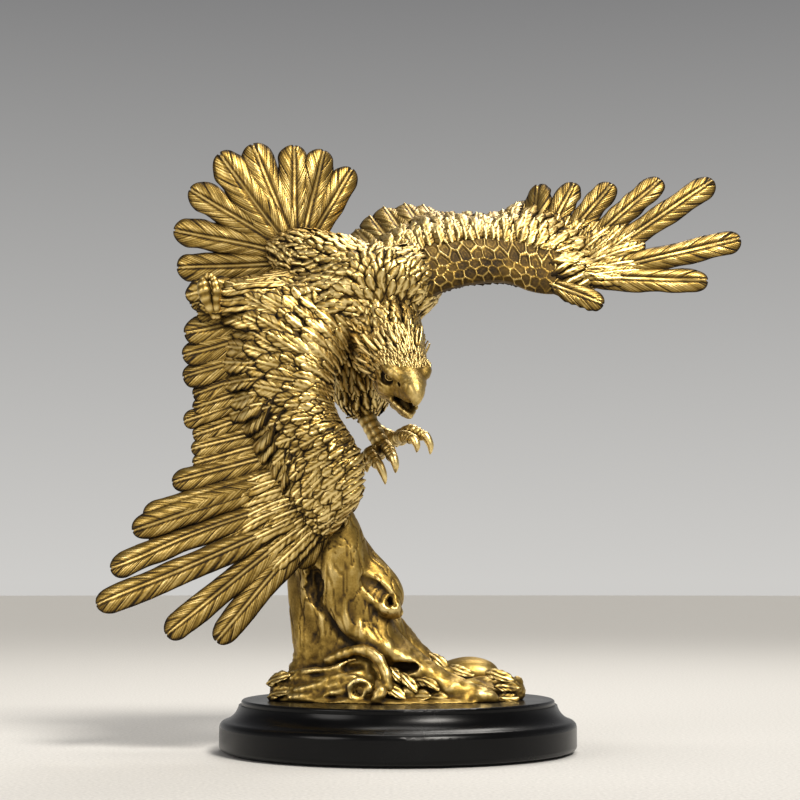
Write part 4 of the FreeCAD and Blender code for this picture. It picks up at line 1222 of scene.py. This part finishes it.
def wood_grain(points, hollow):
    """How far each point of the stump is raised: bark on the trunk, lumps and streaks on the ground, and the
    big stone left nearly smooth."""
    x, y, z = points.T
    warped = points + 2.2 * np.stack([grain(points + 50 * i, 8) for i in range(3)], 1)
    flow = grain(warped, (3.0, 3.0, 20))
    fibre = 1 - np.abs(grain(warped + 31, (1.5, 1.5, 14)))
    tilted = points @ np.array([[1, 0, -0.3], [0, 1, 0], [0.3, 0, 1]])
    streams = smooth((-6 - x) / 4) * smooth((30 - z) / 4) * smooth((-4 - y) / 4)
    streaks = smooth((x - 4) / 5) * smooth((30 - x) / 4)
    rocky = smooth((-31 - x) / 3) + smooth((x - 28) / 4) * smooth((11 - y) / 3)
    lumps = 0.28 * grain(points, 2.6) + 0.16 * grain(points, 1.2)
    lumps = lumps + 0.55 * streams * grain(tilted, (9, 9, 1.5))
    lumps = lumps + streaks * 0.45 * grain(tilted, (8, 2, 2))
    lumps = lumps + rocky * (0.5 * np.abs(grain(points, (2.6, 2.6, 1.4))) - 0.2 + 0.3 * grain(points, 0.9))
    behind = smooth((y - 1) / 5)
    high = np.maximum(smooth((z - 28) / 14), behind * smooth((z - 19) / 5))
    cracks = (0.3 + 0.3 * behind) * smooth((fibre - 0.8) / 0.2)
    bark = 0.5 * flow - cracks + 0.25 * behind * grain(points, 1.8)
    from_stone = np.linalg.norm((points - STONES[0][:3]) / STONES[0][3:], axis=1)
    polished = smooth((1.35 - from_stone) / 0.15)
    lift = (1 - polished) * (high * bark + (1 - high) * lumps) + 0.5 * polished * grain(points, 5)
    return lift + 0.6 * hollow * grain(points, (0.9, 0.9, 1.8))


def stump(gold):
    """The tree stump with its roots, on a low mound that stands on the plinth's top."""
    ground = (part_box("plinth")[1][2] - CAD_LOW[2]) / UNIT[2] + DRAWN_LOW[2]
    mass = Mass((-46, -32, ground - 2), (46, 32, 86), 0.52)
    mass.egg((-0.5, 0, ground), (40.5, 27, 3.4), blend=1)
    draw = np.random.default_rng(500)
    add_wood(mass, draw)
    add_scar(mass)
    add_mound(mass, draw)
    mass.above(ground)
    points, quads = mass.mesh()
    normals = vertex_normals(points, quads)
    hollow = np.linalg.norm((points - (-26.2, -14, 53.5)) / (3.8, 4, 6.6), axis=1) < 1
    hollow |= np.linalg.norm((points - KNOT) / 2.6, axis=1) < 1
    lift = wood_grain(points, hollow) * smooth((points[:, 2] - ground) / 1.2)
    points = points + normals * lift[:, None]
    tone = relief_of(points, quads, rounds=16, depth=0.45)
    clay = Clay()
    # painted shade: the whole stump's tone is lowered; it is lower again in the hollow and at the knot
    clay.add(points, quads, [], (0.86 * tone - 0.1) * (1 - 0.35 * hollow))
    roots, tips, widths = zip(*LEAVES)
    faces = [(0.2, -0.8, 0.6)] * len(LEAVES)
    feathers(clay, roots, tips, faces, widths, LEAF, 510)
    clay.build("stump_sculpt", gold, "stump", "stump_dowel")


# ---------------------------------------------------------------- materials, light and camera


def noise_node(nodes, links, scale):
    """Noise that is fixed to the object's own space."""
    where = nodes.new("ShaderNodeTexCoord")
    made = nodes.new("ShaderNodeTexNoise")
    made.inputs["Scale"].default_value = scale
    made.inputs["Detail"].default_value = 4
    links.new(where.outputs["Object"], made.inputs["Vector"])
    return made


def ramp_node(nodes, stops):
    """A colour ramp through stops of (position, colour)."""
    made = nodes.new("ShaderNodeValToRGB")
    elements = made.color_ramp.elements
    while len(elements) < len(stops):
        elements.new(0.5)
    for element, (position, colour) in zip(elements, stops):
        element.position = position
        element.color = (*colour, 1)
    return made


def gold_material():
    """Antique gold: brown patina in the recesses, rubbed bright on the ridges, with painted shade from
    ambient occlusion and from the patina_and_shade attribute.
    """
    made = bpy.data.materials.new("antique_gold")
    made.use_nodes = True
    nodes, links = made.node_tree.nodes, made.node_tree.links
    shader = nodes["Principled BSDF"]
    patina_and_shade = nodes.new("ShaderNodeAttribute")
    patina_and_shade.attribute_name = "patina_and_shade"
    cloud = noise_node(nodes, links, 130)
    speck = noise_node(nodes, links, 1500)
    # ambient occlusion: painted shade, darker in recesses and between parts
    hollow = nodes.new("ShaderNodeAmbientOcclusion")
    hollow.samples = 6
    hollow.inputs["Distance"].default_value = 0.0032

    def mathed(kind, *values):
        """The output of a math node whose inputs are numbers or other nodes' outputs."""
        node = nodes.new("ShaderNodeMath")
        node.operation = kind
        for socket, value in zip(node.inputs, values):
            if isinstance(value, (int, float)):
                socket.default_value = value
            else:
                links.new(value, socket)
        return node.outputs[0]

    open_sky = mathed("POWER", hollow.outputs["AO"], 1.3)
    blotch = mathed("MULTIPLY_ADD", cloud.outputs["Fac"], 0.5, -0.25)
    grit = mathed("MULTIPLY_ADD", speck.outputs["Fac"], 0.24, -0.12)
    shade = mathed("MULTIPLY", patina_and_shade.outputs["Fac"], open_sky)
    shade = mathed("ADD", mathed("ADD", shade, blotch), grit)
    tones = ramp_node(nodes, [
        (0.08, (0.014, 0.008, 0.002)),  # the darkest recesses, then up to the rubbed ridges
        (0.26, (0.11, 0.064, 0.013)),
        (0.48, (0.36, 0.235, 0.055)),
        (0.82, (0.86, 0.66, 0.28)),
    ])
    links.new(shade, tones.inputs["Fac"])
    links.new(tones.outputs["Color"], shader.inputs["Base Color"])
    shader.inputs["Specular IOR Level"].default_value = 0.15
    metal = ramp_node(nodes, [(0.12, (0.0,) * 3), (0.36, (1.0,) * 3)])
    links.new(shade, metal.inputs["Fac"])
    links.new(metal.outputs["Color"], shader.inputs["Metallic"])
    rough = ramp_node(nodes, [(0.1, (0.7,) * 3), (0.45, (0.46,) * 3), (0.9, (0.34,) * 3)])
    links.new(shade, rough.inputs["Fac"])
    links.new(rough.outputs["Color"], shader.inputs["Roughness"])
    bump = nodes.new("ShaderNodeBump")
    bump.inputs["Strength"].default_value = 0.35
    bump.inputs["Distance"].default_value = 0.0002
    links.new(speck.outputs["Fac"], bump.inputs["Height"])
    links.new(bump.outputs["Normal"], shader.inputs["Normal"])
    return made


def lacquer_material():
    """Satin black lacquer with a faint unevenness."""
    made = bpy.data.materials.new("black_lacquer")
    made.use_nodes = True
    nodes, links = made.node_tree.nodes, made.node_tree.links
    shader = nodes["Principled BSDF"]
    shader.inputs["Specular IOR Level"].default_value = 0.16
    cloud = noise_node(nodes, links, 60)
    tones = ramp_node(nodes, [(0.3, (0.0013, 0.0013, 0.0014)), (0.75, (0.003, 0.003, 0.0033))])
    links.new(cloud.outputs["Fac"], tones.inputs["Fac"])
    links.new(tones.outputs["Color"], shader.inputs["Base Color"])
    rough = ramp_node(nodes, [(0.2, (0.2,) * 3), (0.8, (0.3,) * 3)])
    links.new(cloud.outputs["Fac"], rough.inputs["Fac"])
    links.new(rough.outputs["Color"], shader.inputs["Roughness"])
    return made


def plain_material(name, colour, roughness, metallic=0.0, scale=900):
    """A fine-grained material for the felt, the steel and the floor."""
    made = bpy.data.materials.new(name)
    made.use_nodes = True
    nodes, links = made.node_tree.nodes, made.node_tree.links
    shader = nodes["Principled BSDF"]
    shader.inputs["Metallic"].default_value = metallic
    shader.inputs["Roughness"].default_value = roughness
    grit = noise_node(nodes, links, scale)
    low, high = (tuple(channel * k for channel in colour) for k in (0.85, 1.1))
    tones = ramp_node(nodes, [(0.3, low), (0.7, high)])
    links.new(grit.outputs["Fac"], tones.inputs["Fac"])
    links.new(tones.outputs["Color"], shader.inputs["Base Color"])
    return made


SKY = [  # share of the way from the horizon to straight up, and the light there
    (0.0, (0.62, 0.61, 0.59)),
    (0.12, (0.46, 0.455, 0.445)),
    (0.36, (0.16, 0.16, 0.165)),
    (0.7, (0.07, 0.07, 0.075)),
]


LAMPS = [  # name, place in object heights from its middle, size in heights, watts, colour
    ("fill_light", (-3.0, -2.6, 1.4), 2.0, 2.2, (1.0, 0.96, 0.92)),
    ("top_light", (0.1, 0.3, 3.4), 1.8, 2.2, (1.0, 0.97, 0.92)),
    ("rim_light", (0.8, 2.6, 3.2), 1.6, 2.5, (1.0, 0.96, 0.9)),
]
SUN_FROM = (1.5, -2.5, 3.0)  # in object heights from its middle
FLOOR_REACH = 30  # the floor's radius in object heights
EYE_POINT, LOOK_AT = (0.65, -600, 55), (0.65, 0, 113.8)  # the photograph's viewpoint, in drawn millimetres


def add_lamp(data, colour, offset, middle):
    """Puts a light at an offset from the object's middle, turned towards it."""
    data.color = colour
    lamp = bpy.data.objects.new(data.name, data)
    lamp.location = middle + offset
    lamp.rotation_euler = (-offset).to_track_quat("-Z", "Y").to_euler()
    bpy.context.scene.collection.objects.link(lamp)


def stage():
    """A pale floor with no visible edge, soft lights and the camera."""
    height = float(CAD_HIGH[2] - CAD_LOW[2])
    reach = FLOOR_REACH * height
    mesh = bpy.data.meshes.new("floor")
    sides = 96
    turns = [2 * math.pi * i / sides for i in range(sides)]
    corners = [(reach * math.cos(turn), reach * math.sin(turn), float(CAD_LOW[2])) for turn in turns]
    mesh.from_pydata(corners, [], [tuple(range(sides))])
    floor = bpy.data.objects.new("floor", mesh)
    floor.data.materials.append(plain_material("pale_floor", (0.56, 0.55, 0.53), 0.75))
    bpy.context.scene.collection.objects.link(floor)
    floor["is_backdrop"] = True

    world = bpy.data.worlds.new("studio")
    world.use_nodes = True
    nodes, links = world.node_tree.nodes, world.node_tree.links
    way = nodes.new("ShaderNodeTexCoord")
    split = nodes.new("ShaderNodeSeparateXYZ")
    links.new(way.outputs["Generated"], split.inputs["Vector"])
    sky = ramp_node(nodes, SKY)
    links.new(split.outputs["Z"], sky.inputs["Fac"])
    links.new(sky.outputs["Color"], nodes["Background"].inputs["Color"])
    bpy.context.scene.world = world
    bpy.context.scene.view_settings.view_transform = "Standard"

    middle = Vector(((CAD_LOW + CAD_HIGH) / 2).tolist())
    for name, place, lamp_size, watts, colour in LAMPS:
        data = bpy.data.lights.new(name, "AREA")
        data.shape = "DISK"
        data.size = lamp_size * height
        data.energy = watts
        add_lamp(data, colour, Vector(place) * height, middle)
    sun = bpy.data.lights.new("key_light", "SUN")
    sun.energy = 3.7
    sun.angle = 0.3
    add_lamp(sun, (1.0, 0.955, 0.88), Vector(SUN_FROM) * height, middle)

    data = bpy.data.cameras.new("camera")
    data.sensor_width = 36
    data.lens = 82.6
    camera = bpy.data.objects.new("camera", data)
    camera.location = placed(EYE_POINT)
    target = Vector(placed(LOOK_AT).tolist())
    camera.rotation_euler = (target - camera.location).to_track_quat("-Z", "Y").to_euler()
    bpy.context.scene.collection.objects.link(camera)
    bpy.context.scene.camera = camera


def cad_materials():
    """Materials of the CAD nodes that stay: the plinth, its felt and the fasteners."""
    steel = plain_material("zinc_steel", (0.62, 0.62, 0.63), 0.32, metallic=1.0, scale=600)
    finishes = {
        "plinth": lacquer_material(),
        "base_felt": plain_material("black_felt", (0.03, 0.03, 0.03), 0.95, scale=2500),
        "base_screws": steel,
        "screw_washers": steel,
    }
    for node, material in finishes.items():
        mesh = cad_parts[node].data
        mesh.materials.clear()
        mesh.materials.append(material)


stage()
gold = gold_material()
cad_materials()
right_wing(gold)
left_wing(gold)
tail(gold)
body(gold)
head(gold)
leg("right_leg", gold, RIGHT_SHANK, RIGHT_TOES)
leg("left_leg", gold, LEFT_SHANK, LEFT_TOES)
stump(gold)
